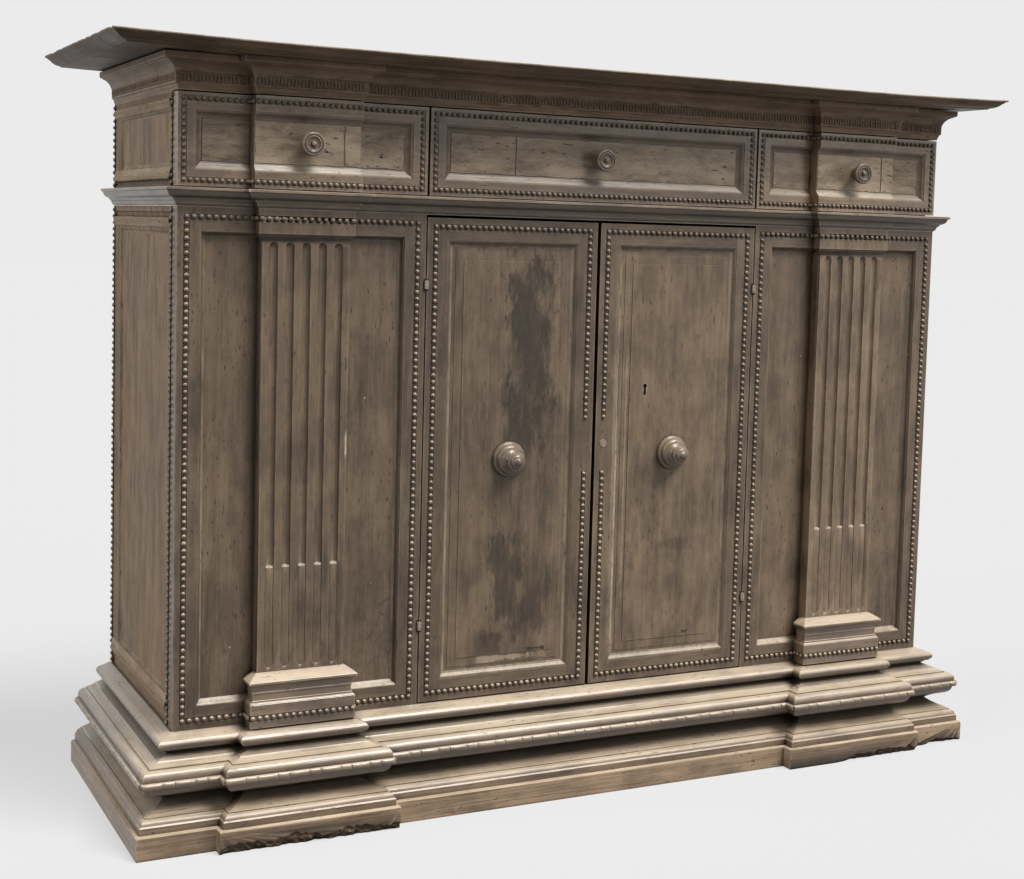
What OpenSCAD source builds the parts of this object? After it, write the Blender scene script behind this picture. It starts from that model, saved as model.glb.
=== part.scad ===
// Walnut credenza with two doors, three drawers and two fluted piers.
// The front faces -Y, +Z is up and the origin is on the floor at the middle of the bounding box.
// Inside the modules y = 0 is the plane of the doors and x = 0 the middle of the front.

/* [Body] */
// Width of the body across the door frames
body_w = 1380; // [1300:10:1500]
// Depth of the body from the door plane to the wall
body_d = 434; // [400:2:500]
// Height of the zone with the doors
main_h = 775; // [700:5:860]
// Height of the zone with the drawers
drawer_zone_h = 139; // [125:1:170]
// Width of the opening that the two doors close
opening_w = 608; // [580:4:640]
// Thickness of the front frames, doors and drawer fronts
front_t = 24; // [22:1:28]
// Thickness of the side frames
side_t = 26; // [22:1:32]
// Thickness of the back boards
back_t = 12; // [8:1:16]
// Thickness of the bottom board
bottom_t = 18; // [12:1:24]

/* [Base] */
// Height of the plinth
plinth_h = 36; // [28:1:50]
// How far the plinth stands out from the body
plinth_out = 66; // [62:1:75]
// Height of the moulding on top of the plinth
plinth_cap_h = 38; // [34:1:46]
// How far the moulding on the plinth stands out
plinth_cap_out = 60; // [57:1:61]
// Height of the large round moulding
torus_h = 65; // [62:1:76]
// How far the large round moulding stands out
torus_out = 58; // [54:1:62]
// Height of the nosing under the doors
nosing_h = 27; // [25:1:32]
// How far the nosing stands out
nosing_out = 26; // [24:1:30]
// How far the base frames reach in under the body
base_rail_in = 40; // [34:2:60]

/* [Piers] */
// Distance from the end of the body to the middle of each pier
pier_inset = 190; // [182:1:196]
// Width of the pier that the mouldings follow
pier_w = 148; // [140:2:160]
// How far the base mouldings break forward at a pier
pier_out = 22; // [18:1:26]
// How far the string course breaks forward at a pier
pier_string_out = 18; // [16:1:21]
// Width of the fluted shaft
shaft_w = 135; // [130:1:140]
// How far the front of the shaft stands before the door plane
shaft_out = 13; // [10:1:15]
// Number of flutes on a shaft
flute_count = 5; // [3:1:5]
// Distance between neighbouring flutes
flute_pitch = 25; // [22:0.5:26]
// Radius of a flute
flute_r = 5.5; // [5:0.5:7]
// Depth of a flute
flute_depth = 5; // [4:0.5:5]
// Height of the stopped part of the flutes above the base block
flute_stop_h = 158; // [100:2:220]
// Height of the base block under a shaft
pier_base_h = 80; // [76:1:90]
// Height of the plain block over a shaft
pier_cap_h = 36; // [32:1:42]

/* [Panels] */
// Width of the frame round a bay or door panel
frame_w = 35; // [32:1:40]
// Width of the moulding that leads down to a bay panel
bay_mould_w = 8; // [6:0.5:10]
// Depth of a bay panel behind its frame
bay_panel_depth = 10; // [7:0.5:11]
// Width of the moulding that leads down to a door panel
door_mould_w = 10; // [8:0.5:12]
// Depth of a door panel behind its frame
door_panel_depth = 6; // [4:0.5:8]
// Width of the moulding round a side panel
side_mould_w = 6; // [4:0.5:12]
// Depth of a side panel behind its frame
side_panel_depth = 3; // [2:0.5:6]
// Depth of the channels above and below the side rails
side_channel_depth = 2.5; // [1.5:0.25:3]
// Thickness of the panels
panel_t = 8; // [6:0.5:9]
// Depth of the grooves that hold the panels
groove_in = 6; // [4:0.5:8]
// Width of the front stile of a side frame
side_front_stile = 14; // [13:1:22]
// Width of the back stile of a side frame
side_back_stile = 57; // [40:1:70]
// Width of the margin outside the raised field of a door panel
door_field_margin = 20; // [14:1:26]
// Width of the margin outside the lower ledge of a door panel
door_ledge_margin = 6; // [3:0.5:9]
// Height of the lower ledge on a door panel
door_ledge_h = 0.8; // [0.5:0.1:0.9]
// Height of the raised field on a door panel
door_field_h = 1.8; // [1.2:0.2:2.6]

/* [Beading] */
// Diameter of the beads
bead_d = 8; // [6.5:0.5:9]
// Distance between neighbouring beads
bead_pitch = 10.6; // [9.8:0.1:13]
// Depth of the channels that the beads stand in
channel_depth = 1.2; // [1:0.1:2]
// Gap between the beads and the walls of their channel
channel_gap = 0.5; // [0.25:0.25:1]
// Distance from the edge of a frame to its row of beads
bead_inset = 14; // [11:0.5:15]
// Diameter of the beads on the drawers
drawer_bead_d = 7.5; // [6:0.5:8]
// Distance between neighbouring beads on the drawers
drawer_bead_pitch = 9.4; // [8.4:0.1:12]
// Distance from the edge of a drawer front to its row of beads
drawer_bead_inset = 9; // [8:0.5:11]

/* [Doors] */
// Gap between the two doors
door_meeting_gap = 6; // [4:0.5:8]
// Gap between a door and the frame that carries it
door_hinge_gap = 2; // [1.5:0.25:3]
// Gap under a door
door_bottom_gap = 2; // [1:0.5:4]
// Gap over a door
door_top_gap = 4; // [2:0.5:6]
// Diameter of the foot of a door knob
door_knob_d = 57; // [48:1:64]
// Length of a door knob
door_knob_len = 44; // [36:1:50]
// Distance from the bottom of the door zone to the lower hinges
lower_hinge_z = 126; // [100:2:180]
// Distance from the top of the door zone to the upper hinges
upper_hinge_z = 109; // [90:2:180]
// Distance from the middle of the front to the keyhole
keyhole_x = 97; // [90:1:106]
// Height of the keyhole above the bottom of the door zone
keyhole_z = 501; // [460:1:540]

/* [Ironwork] */
// Outer diameter of a hinge eye
hinge_eye_d = 7.5; // [7:0.5:9]
// Diameter of a hinge pin
hinge_pin_d = 4; // [3:0.5:5]
// Height of one hinge eye
hinge_eye_h = 6; // [5.5:0.5:10]
// Radial clearance at the hinge pins
hinge_clearance = 0.06; // [0.03:0.01:0.1]
// Length of a hinge spike in the wood
hinge_spike_len = 16; // [10:1:20]
// Height of the lock bolt
lock_bolt_h = 24; // [18:1:28]
// Thickness of the lock bolt
lock_bolt_t = 6; // [4:0.5:7]
// How far the lock bolt shoots
lock_bolt_travel = 24; // [22:1:28]
// Diameter of the upright bolt on the left door
rod_d = 8; // [6:0.5:9]
// How far the upright bolt rises
rod_travel = 25; // [22:1:28]

/* [String course, cornice and top] */
// Height of the string course
string_h = 28; // [26:1:34]
// How far the string course stands out
string_out = 22; // [20:1:26]
// Height of the cornice
cornice_h = 52; // [50:1:60]
// How far the cornice stands out
cornice_out = 25; // [24:1:30]
// Thickness of the top board
top_t = 16; // [16:1:22]
// How far the top board stands out at the front
top_out = 93; // [89:1:110]
// How far the top board stands out at the left end
top_out_left = 112; // [90:1:125]
// How far the top board stands out at the right end
top_out_right = 84; // [76:1:110]

/* [Drawers] */
// Gap under and over a drawer front
drawer_gap = 2; // [1:0.5:3]
// Gap between neighbouring drawer fronts
drawer_side_gap = 4; // [3:0.5:6]
// Width of the frame on a drawer front
drawer_frame_w = 24; // [20:1:28]
// Width of the moulding on a drawer front
drawer_mould_w = 12; // [8:0.5:14]
// Depth of the sunk field on a drawer front
drawer_panel_depth = 9; // [5:0.5:10]
// Width of the break in the outer drawer fronts
drawer_pier_w = 164; // [156:2:176]
// Thickness of the drawer sides and backs
box_t = 12; // [8:1:14]
// Thickness of the drawer bottoms
box_bottom_t = 8; // [6:0.5:10]
// Gap between a drawer box and the back boards
box_back_gap = 22; // [8:1:60]
// Height of the drawer sides
box_h = 120; // [90:1:130]
// Gap between a drawer box and what guides it
box_side_gap = 2; // [1:0.5:3]
// Gap between a drawer bottom and the board that it slides on
slide_gap = 0.3; // [0.2:0.05:0.5]
// Thickness of the uprights between the drawers
divider_t = 16; // [12:1:20]
// Thickness of the board under the drawers
deck_t = 18; // [14:1:20]
// Diameter of a drawer knob
drawer_knob_d = 36; // [30:1:42]
// Length of a drawer knob
drawer_knob_len = 30; // [26:1:34]

/* [Inside] */
// Height of the shelf above the bottom of the door zone
shelf_z = 394; // [250:2:480]
// Thickness of the shelf
shelf_t = 18; // [14:1:22]
// Distance from the door plane to the front of the shelf
shelf_setback = 62; // [56:2:140]
// Side of the strips under the shelf
bearer_s = 20; // [14:1:28]
// Number of back boards
back_board_count = 5; // [3:1:7]
// Gap between the back boards
back_board_gap = 1; // [0.5:0.25:2]

/* [Hidden] */

$fn = 64;
EPS = 0.01;
WALNUT = "#6f4f38";
WALNUT_LIGHT = "#84614a";
WALNUT_DARK = "#553a2a";
POPLAR = "#a98a63";
IRON = "#3c3a38";

// Levels, from the floor up
cap_z = plinth_h;
torus_z = cap_z + plinth_cap_h;
nosing_z = torus_z + torus_h;
main_z = nosing_z + nosing_h;
main_top = main_z + main_h;
drawer_z = main_top + string_h;
drawer_top = drawer_z + drawer_zone_h;
cornice_top = drawer_top + cornice_h;
deck_z = drawer_z - deck_t;

// Places across and along the depth
half_w = body_w / 2;
inner_half_w = half_w - side_t;
front_x = (top_out_left - top_out_right) / 2;
front_y = top_out - (body_d + top_out) / 2;
back_front = body_d - back_t;
jamb_x = opening_w / 2;
bay_w = half_w - jamb_x;
bay_x = (half_w + jamb_x) / 2;
pier_half = pier_w / 2;

// Piers
pier_x = half_w - pier_inset;
base_block_out = pier_out + 10;
base_block_half = pier_half + 8;
shaft_z = main_z + pier_base_h;
cap_block_z = main_top - pier_cap_h;
cap_out = pier_string_out + 1;
cap_step = (cap_out - shaft_out) / 3;
cap_fillet_h = 3.5;
block_bead_z = 15.5;
cap_bead_z = pier_cap_h - bead_inset;
block_channel = bead_d / 2 + channel_gap;
bead_core = 0.28;
row_gap = 0.3;
bead_end = bead_d / 2 + channel_gap - row_gap;
drawer_bead_end = drawer_bead_d / 2 + channel_gap - row_gap;
drawer_pier_out = pier_out;

// Doors
door_x0 = door_meeting_gap / 2;
door_x1 = jamb_x - door_hinge_gap;
door_w = door_x1 - door_x0;
door_mid = (door_x0 + door_x1) / 2;
door_z0 = main_z + door_bottom_gap;
door_z1 = main_top - door_top_gap;
door_h = door_z1 - door_z0;
door_mid_z = (door_z0 + door_z1) / 2;
field_edge = frame_w + door_mould_w;
knob_tenon_d = 12;
tenon_clearance = 0.15;
keyhole_d = 7;
keyhole_slot_w = 4;
keyhole_slot_h = 16;
patch_half = 45;
patch_z = door_mid_z + 20;

// Hinges stand in the gap, a little before the door plane
hinge_x = jamb_x - door_hinge_gap / 2;
hinge_y = -2;
hinge_levels = [main_z + lower_hinge_z, main_top - upper_hinge_z];
hinge_recess_d = hinge_eye_d + 2;
hinge_recess_h = 2 * hinge_eye_h + 8;
hinge_lift = 0.2;
hinge_neck_t = door_hinge_gap - 0.6;
hinge_neck_h = 5;
spike_d = 3;
spike_y = hinge_y + hinge_eye_d / 2 + 3;
spike_clearance = 0.05;
jamb_eye_z = -hinge_eye_h / 2;
door_eye_z = hinge_eye_h / 2 + hinge_lift;

// Lock on the back of the right door
lock_z = main_z + keyhole_z;
lock_x0 = door_x0 + 11;
lock_x1 = keyhole_x + 20;
lock_h = lock_bolt_h + 46;
lock_t = lock_bolt_t + 10;
lock_wall = 4;
lock_clearance = 0.3;
bolt_rest_x = lock_x0 - 4;
bolt_y = front_t + lock_t / 2;
keeper_x0 = -door_x0 - 27;
keeper_x1 = -door_x0 - 5;

// Upright bolt on the back of the left door
rod_x = -door_x0 - 22;
rod_y = front_t + rod_d / 2 + 5;
rod_top = door_z1 - 3;
rod_len = 94;
rod_clearance = 0.2;
staple_w = rod_d + 8;
staple_h = 8;
staple_levels = [rod_top - rod_len + 10, rod_top - 19];
rod_grip_z = rod_top - rod_len + 32;

// Drawers
drawer_z0 = drawer_z + drawer_gap;
drawer_z1 = drawer_top - drawer_gap;
drawer_mid_z = (drawer_z0 + drawer_z1) / 2;
divider_x = jamb_x - 2;
drawer_split = divider_x;
box_z = drawer_z + slide_gap;
box_d = back_front - front_t - box_back_gap;

// The body stands a little off the middle, because the top board stands out further at the left end
module placed() {
    translate([front_x, front_y, 0]) children();
}

// Points on a shallow curve from p to q that bulges by sag to the left of the way from p to q
function bow(p, q, sag, n = 6) =
    let(d = q - p, across = [-d[1], d[0]] / norm(d))
    [for (i = [0 : n]) let(t = i / n) p + d * t + across * (4 * sag * t * (1 - t))];

// Moulding outlines as [distance out from the body, height], from the bottom up
plinth_outline = [[plinth_out, 0], [plinth_out, plinth_h - 2.5], [plinth_out - 2, plinth_h]];

plinth_cap_outline = concat(
    [[plinth_cap_out, 0], [plinth_cap_out, 10], [plinth_cap_out - 1.5, 11.5]],
    bow([plinth_cap_out - 2, 12], [plinth_cap_out - 9, 19.5], -1.6),
    [[plinth_cap_out - 10, 20], [plinth_cap_out - 10, 21.5]],
    bow([plinth_cap_out - 12, 21.5], [17, plinth_cap_h], 1.5));

torus_outline = concat(
    bow([17, 0], [torus_out - 14, 12.5], 1.5, 4),
    bow([torus_out - 14, 12.5], [torus_out - 5, 26.5], -2.4, 4),
    [[torus_out - 1, 27.5], [torus_out, 29], [torus_out, 34], [torus_out - 1.5, 36], [torus_out - 3.5, 36.5]],
    bow([torus_out - 3, 37], [torus_out - 14, 51], -4.5, 8),
    [[torus_out - 16, 51], [torus_out - 16, 52.5]],
    bow([torus_out - 18, 52.8], [torus_out - 30, 57], 0.6, 4),
    [[torus_out - 31, 58.5]],
    bow([torus_out - 32, 58.5], [10, torus_h], 0.8, 4));

nosing_outline = concat(
    [[10, 0]],
    bow([12, 1], [nosing_out - 5, 6], 0.8, 3),
    [[nosing_out - 4, 8], [nosing_out - 3, 8.5]],
    bow([nosing_out - 2.5, 9], [nosing_out - 4, 20], -2.8, 6),
    [[nosing_out - 7, 21]],
    bow([nosing_out - 8, 21.5], [2, nosing_h], 0.4, 3));

string_outline = concat(
    [[1, 0], [1, 2]],
    bow([1.5, 2], [4.5, 8], -1.2, 4),
    [[6, 8.5], [6, 9.5]],
    bow([7, 9.5], [string_out - 9, 14.5], 1, 4),
    bow([string_out - 9, 14.5], [string_out - 3.5, 22], -1, 4),
    [[string_out - 3, 23], [string_out, 24], [string_out, string_h - 0.5], [string_out - 0.5, string_h]]);

cornice_outline = concat(
    [[0, 0], [0.5, 2], [3, 9], [5, 9.5], [5, 11], [5.5, 26]],
    bow([6, 26.5], [cornice_out - 5, 41], 2.6, 6),
    [[cornice_out - 4, 42], [cornice_out - 1, 43], [cornice_out, 44.5], [cornice_out, cornice_h]]);

// Edge of the top board, measured from its tip
top_outline = concat(
    [[-26, 0], [-25, 0], [-24.5, 1]],
    bow([-23.5, 1.5], [-8.5, 8.5], -1.6, 6),
    [[-7.5, 9.5], [-6, 10], [-3.5, 12.5], [-1, 13], [0, 14], [0, top_t - 1], [-0.5, top_t]]);

// Pier base block, from its flat bottom to the foot of the shaft, which stands in by set_back
function pier_base_outline(set_back) = concat(
    [[0, 0], [0, block_bead_z - block_channel], [-channel_depth, block_bead_z - block_channel],
        [-channel_depth, block_bead_z + block_channel], [0, block_bead_z + block_channel], [0, 35]],
    bow([-0.5, 35.5], [-2.5, 38], -0.4, 3),
    [[-3.5, 38.5], [-3.5, 40.5], [-5, 41.5], [-5, 51], [-4, 51.5], [-4, 53]],
    bow([-4.5, 53.5], [1.5, 66], 1.8, 5),
    [[2.5, 66.5], [2.5, 69.5]],
    bow([2, 70], [1 - set_back, pier_base_h], -0.6, 4));

// Block over the shaft, with the channel for its row of beads
cap_block_outline = [[0, 0], [0, cap_bead_z - block_channel], [-channel_depth, cap_bead_z - block_channel],
    [-channel_depth, cap_bead_z + block_channel], [0, cap_bead_z + block_channel], [0, pier_cap_h]];

// Inner moulding of a frame as [distance in from the flat, depth below it]: a step, a round and a cove
function frame_mould(w, depth) =
    concat([[0, 0], [0, depth * 0.12]],
        bow([w * 0.06, depth * 0.14], [w * 0.42, depth * 0.46], -w * 0.05, 3),
        [[w * 0.44, depth * 0.56]],
        bow([w * 0.5, depth * 0.6], [w * 0.94, depth * 0.95], w * 0.04, 4),
        [[w, depth]]);

// Block with a moulding run along its front and both ends, mitred at the corners
module mitred_block(left, right, front, back, outline, end_outline) {
    last = len(outline) - 1;
    top = outline[last][1];
    far = max([for (p = concat(outline, end_outline)) abs(p[0])]) + 1;
    intersection() {
        translate([left - far, 0, 0]) rotate([90, 0, 90])
            linear_extrude(right - left + 2 * far)
                polygon(concat([[back, outline[0][1]]], [for (p = outline) [front - p[0], p[1]]], [[back, top]]));
        translate([0, back, 0]) rotate([90, 0, 0])
            linear_extrude(back - front + far)
                polygon(concat([for (p = end_outline) [right + p[0], p[1]]],
                    [for (i = [len(end_outline) - 1 : -1 : 0]) [left - end_outline[i][0], end_outline[i][1]]]));
    }
}

module moulded_block(half, front, back, outline) {
    mitred_block(-half, half, front, back, outline, outline);
}

// Moulding round the body that breaks forward at both piers, open inside
module pier_ring(outline, pier_half_w, out, inner_half, inner_front, inner_back) {
    top = outline[len(outline) - 1][1];
    difference() {
        union() {
            moulded_block(half_w, 0, body_d, outline);
            for (side = [-1, 1])
                translate([side * pier_x, 0, 0])
                    moulded_block(pier_half_w, -out, inner_front / 2, outline);
        }
        translate([-inner_half, inner_front, -EPS])
            cube([2 * inner_half, inner_back - inner_front, top + 2 * EPS]);
    }
}

module base_ring(outline) {
    pier_ring(outline, pier_half, pier_out, half_w - base_rail_in, base_rail_in, body_d - base_rail_in);
}

// Void of a sunk field with moulded edges, w by h at the surface y = 0, and straight behind the moulding
module sunk_void(w, h, mould, through) {
    pts = concat([[0, -1]], mould, [[mould[len(mould) - 1][0], through]]);
    intersection() {
        linear_extrude(h, center = true)
            polygon(concat([for (p = pts) [w / 2 - p[0], p[1]]],
                [for (i = [len(pts) - 1 : -1 : 0]) [-w / 2 + pts[i][0], pts[i][1]]]));
        rotate([0, 90, 0])
            linear_extrude(w, center = true)
                polygon(concat([for (p = pts) [h / 2 - p[0], p[1]]],
                    [for (i = [len(pts) - 1 : -1 : 0]) [-h / 2 + pts[i][0], pts[i][1]]]));
    }
}

// Frame in the plane y = 0 .. t with a moulded opening and a groove for its panel
module framed(x0, x1, z0, z1, t, mould_w, depth, margin) {
    open_w = x1 - x0 - 2 * margin;
    open_h = z1 - z0 - 2 * margin;
    difference() {
        translate([x0, 0, z0]) cube([x1 - x0, t, z1 - z0]);
        translate([(x0 + x1) / 2, 0, (z0 + z1) / 2])
            panel_cut(open_w, open_h, t, mould_w, depth);
        bead_channel(x0, x1, z0, z1, bead_inset, bead_d);
    }
}

// Shallow channel for the beads, all round a frame
module bead_channel(x0, x1, z0, z1, inset, d) {
    half = d / 2 + channel_gap;
    outer = inset - half;
    inner = inset + half;
    difference() {
        translate([x0 + outer, -1, z0 + outer])
            cube([x1 - x0 - 2 * outer, 1 + channel_depth, z1 - z0 - 2 * outer]);
        translate([x0 + inner, -2, z0 + inner])
            cube([x1 - x0 - 2 * inner, 3 + channel_depth, z1 - z0 - 2 * inner]);
    }
}

module panel_cut(open_w, open_h, t, mould_w, depth) {
    fit = 0.2;
    in_w = open_w - 2 * mould_w + 2 * groove_in;
    in_h = open_h - 2 * mould_w + 2 * groove_in;
    sunk_void(open_w, open_h, frame_mould(mould_w, depth), t + 1);
    translate([-in_w / 2 - fit, depth, -in_h / 2 - fit])
        cube([in_w + 2 * fit, panel_t + fit, in_h + 2 * fit]);
}

module panel_plate(open_w, open_h, mould_w, depth) {
    in_w = open_w - 2 * mould_w + 2 * groove_in;
    in_h = open_h - 2 * mould_w + 2 * groove_in;
    translate([-in_w / 2, depth, -in_h / 2]) cube([in_w, panel_t, in_h]);
}

// Row of half beads on a thin core, from the origin along +Z, flat behind, where it lies on y = 0
module bead_row(length, d, pitch) {
    count = max(1, round(length / pitch));
    step = length / count;
    rotate([0, 0, -90]) intersection() {
        rotate_extrude($fn = 32)
            intersection() {
                union() {
                    square([d * bead_core, length]);
                    for (i = [0 : count - 1]) translate([0, (i + 0.5) * step]) circle(d = d, $fn = 24);
                }
                square([d, length]);
            }
        translate([0, -d, -1]) cube([2 * d, 2 * d, length + 2]);
    }
}

module upright_row(x, z0, z1, d, pitch) {
    translate([x, channel_depth, z0]) bead_row(z1 - z0, d, pitch);
}

module level_row(x0, x1, z, d, pitch) {
    translate([x0, channel_depth, z]) rotate([0, 90, 0]) bead_row(x1 - x0, d, pitch);
}

// Rows on both ends of a block that stands out by out from the plane y = 0
module return_rows(x0, x1, out, z, d, pitch, sunk) {
    translate([x0 + sunk, 0, z]) rotate([0, 0, -90]) rotate([0, 90, 0]) bead_row(out, d, pitch);
    translate([x1 - sunk, -out, z]) rotate([0, 0, 90]) rotate([0, 90, 0]) bead_row(out, d, pitch);
}

// Base

module plinth() {
    color(WALNUT) placed() base_ring(plinth_outline);
}

module plinth_cap() {
    color(WALNUT_LIGHT) placed() translate([0, 0, cap_z]) base_ring(plinth_cap_outline);
}

module base_torus() {
    color(WALNUT) placed() translate([0, 0, torus_z]) base_ring(torus_outline);
}

module base_nosing() {
    color(WALNUT_LIGHT) placed() translate([0, 0, nosing_z]) base_ring(nosing_outline);
}

module bottom_board() {
    color(POPLAR) placed()
        translate([-inner_half_w, front_t + 2, main_z])
            cube([2 * inner_half_w, back_front - front_t - 2, bottom_t]);
}

// Sides, drawn in local places where x runs from the back (-) to the front (+)

side_len = body_d - front_t;
side_mid_y = front_t + side_len / 2;
side_open_w = side_len - side_front_stile - side_back_stile;
side_open_x = (side_back_stile - side_front_stile) / 2;
side_low_rails = [46, 30];
side_top_rails = [35, 26];
side_zones = [[main_z, main_top], [drawer_z, drawer_top]];
side_fields = [for (i = [0, 1]) [side_zones[i][0] + side_low_rails[i], side_zones[i][1] - side_top_rails[i]]];
side_mid_z = [for (f = side_fields) (f[0] + f[1]) / 2];
side_channels = [[main_z - 1, main_z + 18], [main_top - 17, main_top - 8], [drawer_z + 5, drawer_z + 13],
    [drawer_top - 14, drawer_top - 11]];
side_bead_front_y = front_t + bead_d / 2 + 2;
side_bead_back_y = body_d - bead_d / 2 - 4;

module on_side(side) {
    mirror([side > 0 ? 1 : 0, 0, 0])
        translate([-half_w, side_mid_y, 0]) rotate([0, 0, -90]) children();
}

// The places on a side run from its back edge to its front edge
function side_place(y) = side_mid_y - y;

module side_frame(side) {
    margin = bead_d / 2 + channel_gap;
    placed() on_side(side)
        difference() {
            translate([-side_len / 2, 0, main_z]) cube([side_len, side_t, drawer_top - main_z]);
            for (i = [0, 1])
                translate([side_open_x, 0, side_mid_z[i]])
                    panel_cut(side_open_w, side_fields[i][1] - side_fields[i][0], side_t,
                        side_mould_w, side_panel_depth);
            for (c = side_channels)
                translate([side_place(side_bead_back_y) + margin, -1, c[0]])
                    cube([side_bead_back_y - side_bead_front_y - 2 * margin, 1 + side_channel_depth, c[1] - c[0]]);
            for (y = [side_bead_front_y, side_bead_back_y])
                translate([side_place(y) - margin, -1, main_z - 1])
                    cube([2 * margin, 1 + channel_depth, drawer_top - main_z + 2]);
        }
}

module side_panels(side) {
    placed() on_side(side)
        for (i = [0, 1])
            translate([side_open_x, 0, side_mid_z[i]])
                panel_plate(side_open_w, side_fields[i][1] - side_fields[i][0], side_mould_w, side_panel_depth);
}

module side_beading(side) {
    placed() on_side(side)
        for (zone = side_zones, y = [side_bead_front_y, side_bead_back_y])
            upright_row(side_place(y), zone[0] + 1, zone[1] - 1, bead_d, bead_pitch);
}

module left_side_frame() { color(WALNUT) side_frame(-1); }
module right_side_frame() { color(WALNUT) side_frame(1); }
module left_side_panels() { color(WALNUT_LIGHT) side_panels(-1); }
module right_side_panels() { color(WALNUT_LIGHT) side_panels(1); }
module left_side_beading() { color(WALNUT_LIGHT) side_beading(-1); }
module right_side_beading() { color(WALNUT_LIGHT) side_beading(1); }

module back_boards() {
    pitch = 2 * inner_half_w / back_board_count;
    color(POPLAR) placed()
        for (i = [0 : back_board_count - 1])
            translate([-inner_half_w + i * pitch + (i > 0 ? back_board_gap : 0), back_front, main_z])
                cube([pitch - (i > 0 ? back_board_gap : 0), back_t, cornice_top - main_z]);
}

// Fixed bays beside the doors, drawn on the right and mirrored

module mirrored(side) {
    mirror([side < 0 ? 1 : 0, 0, 0]) children();
}

module bay_frame(side) {
    placed() mirrored(side)
        difference() {
            framed(jamb_x, half_w, main_z, main_top, front_t, bay_mould_w, bay_panel_depth, frame_w);
            for (z = hinge_levels) {
                hinge_recess(z);
                hinge_spike(z + jamb_eye_z, 1, spike_clearance);
            }
        }
}

module bay_panel(side) {
    placed() mirrored(side)
        translate([bay_x, 0, (main_z + main_top) / 2])
            panel_plate(bay_w - 2 * frame_w, main_h - 2 * frame_w, bay_mould_w, bay_panel_depth);
}

module bay_beading(side) {
    low = main_z + bead_inset;
    high = main_top - bead_inset;
    reach = bead_pitch / 2;
    x0 = jamb_x + bead_inset;
    x1 = half_w - bead_inset;
    block_x0 = pier_x - base_block_half;
    block_x1 = pier_x + base_block_half;
    cap_x0 = pier_x - pier_half;
    cap_x1 = pier_x + pier_half;
    block_z = main_z + block_bead_z;
    ball = bead_d / 2 + row_gap;
    placed() mirrored(side) {
        for (x = [x0, x1]) upright_row(x, low - bead_end, high + bead_end, bead_d, bead_pitch);
        level_row(x0 + reach + row_gap, block_x0 - ball, low, bead_d, bead_pitch);
        level_row(block_x1 + ball, x1 - reach - row_gap, low, bead_d, bead_pitch);
        level_row(x0 + reach + row_gap, cap_x0 - ball, high, bead_d, bead_pitch);
        level_row(cap_x1 + ball, x1 - reach - row_gap, high, bead_d, bead_pitch);
        translate([0, -base_block_out, 0])
            level_row(block_x0 + channel_depth, block_x1 - channel_depth, block_z, bead_d, bead_pitch);
        return_rows(block_x0, block_x1, base_block_out - ball, block_z, bead_d, bead_pitch, channel_depth);
        translate([0, -cap_out, 0]) level_row(cap_x0 + channel_depth, cap_x1 - channel_depth, high, bead_d, bead_pitch);
        return_rows(cap_x0, cap_x1, cap_out - ball, high, bead_d, bead_pitch, channel_depth);
    }
}

// Shaft with flutes that are filled by rounded reeds below, and the stepped block over it
module pilaster(side) {
    panel_top = main_top - frame_w - bay_mould_w - 1;
    panel_low = main_z + frame_w + bay_mould_w + 1;
    flute_low = shaft_z + 6;
    flute_x = [for (i = [0 : flute_count - 1]) (i - (flute_count - 1) / 2) * flute_pitch];
    placed() mirrored(side) translate([pier_x, 0, 0]) {
        difference() {
            union() {
                translate([-shaft_w / 2, -shaft_out, shaft_z]) cube([shaft_w, shaft_out, cap_block_z - shaft_z]);
                translate([-shaft_w / 2, 0, panel_low])
                    cube([shaft_w, bay_panel_depth, panel_top - panel_low]);
                cap_block();
            }
            for (x = flute_x)
                translate([x, -shaft_out, 0]) flute(flute_low, cap_block_z - 3 * cap_fillet_h - 2);
        }
        for (x = flute_x)
            translate([x, reed_r + 0.3 - shaft_out, 0]) reed(flute_low, shaft_z + flute_stop_h);
    }
}

module cap_block() {
    translate([0, 0, cap_block_z]) moulded_block(pier_half, -cap_out, 0, cap_block_outline);
    for (i = [1 : 3])
        translate([-shaft_w / 2 - (4 - i) * 1.8, -cap_out + i * cap_step * 0.8, cap_block_z - i * cap_fillet_h])
            cube([shaft_w + (4 - i) * 3.6, cap_out - i * cap_step * 0.8, cap_fillet_h + EPS]);
}

// Round-ended groove with its axis a little before the face
module flute(z0, z1) {
    ahead = flute_r - flute_depth;
    round_end = bow([0, 0], [flute_r, flute_r], -flute_r * 0.2, 5);
    translate([0, -ahead, z0])
        rotate_extrude($fn = 48)
            polygon(concat(round_end,
                [for (i = [len(round_end) - 1 : -1 : 0]) [round_end[i][0], z1 - z0 - round_end[i][1]]]));
}

// Rounded reed in the lower part of a flute, with its axis inside the shaft
reed_r = flute_r - 0.8;

module reed(z0, z1) {
    round_end = bow([0, 0], [reed_r, reed_r * 0.8], -reed_r * 0.2, 5);
    translate([0, 0, z0])
        rotate_extrude($fn = 48)
            polygon(concat([[0, 0], [reed_r, 0]],
                [for (i = [len(round_end) - 1 : -1 : 0]) [round_end[i][0], z1 - z0 - round_end[i][1]]]));
}

module pilaster_base(side) {
    placed() mirrored(side) translate([pier_x, 0, main_z])
        mitred_block(-base_block_half, base_block_half, -base_block_out, 0,
            pier_base_outline(base_block_out - shaft_out),
            pier_base_outline(base_block_half - shaft_w / 2));
}

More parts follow.
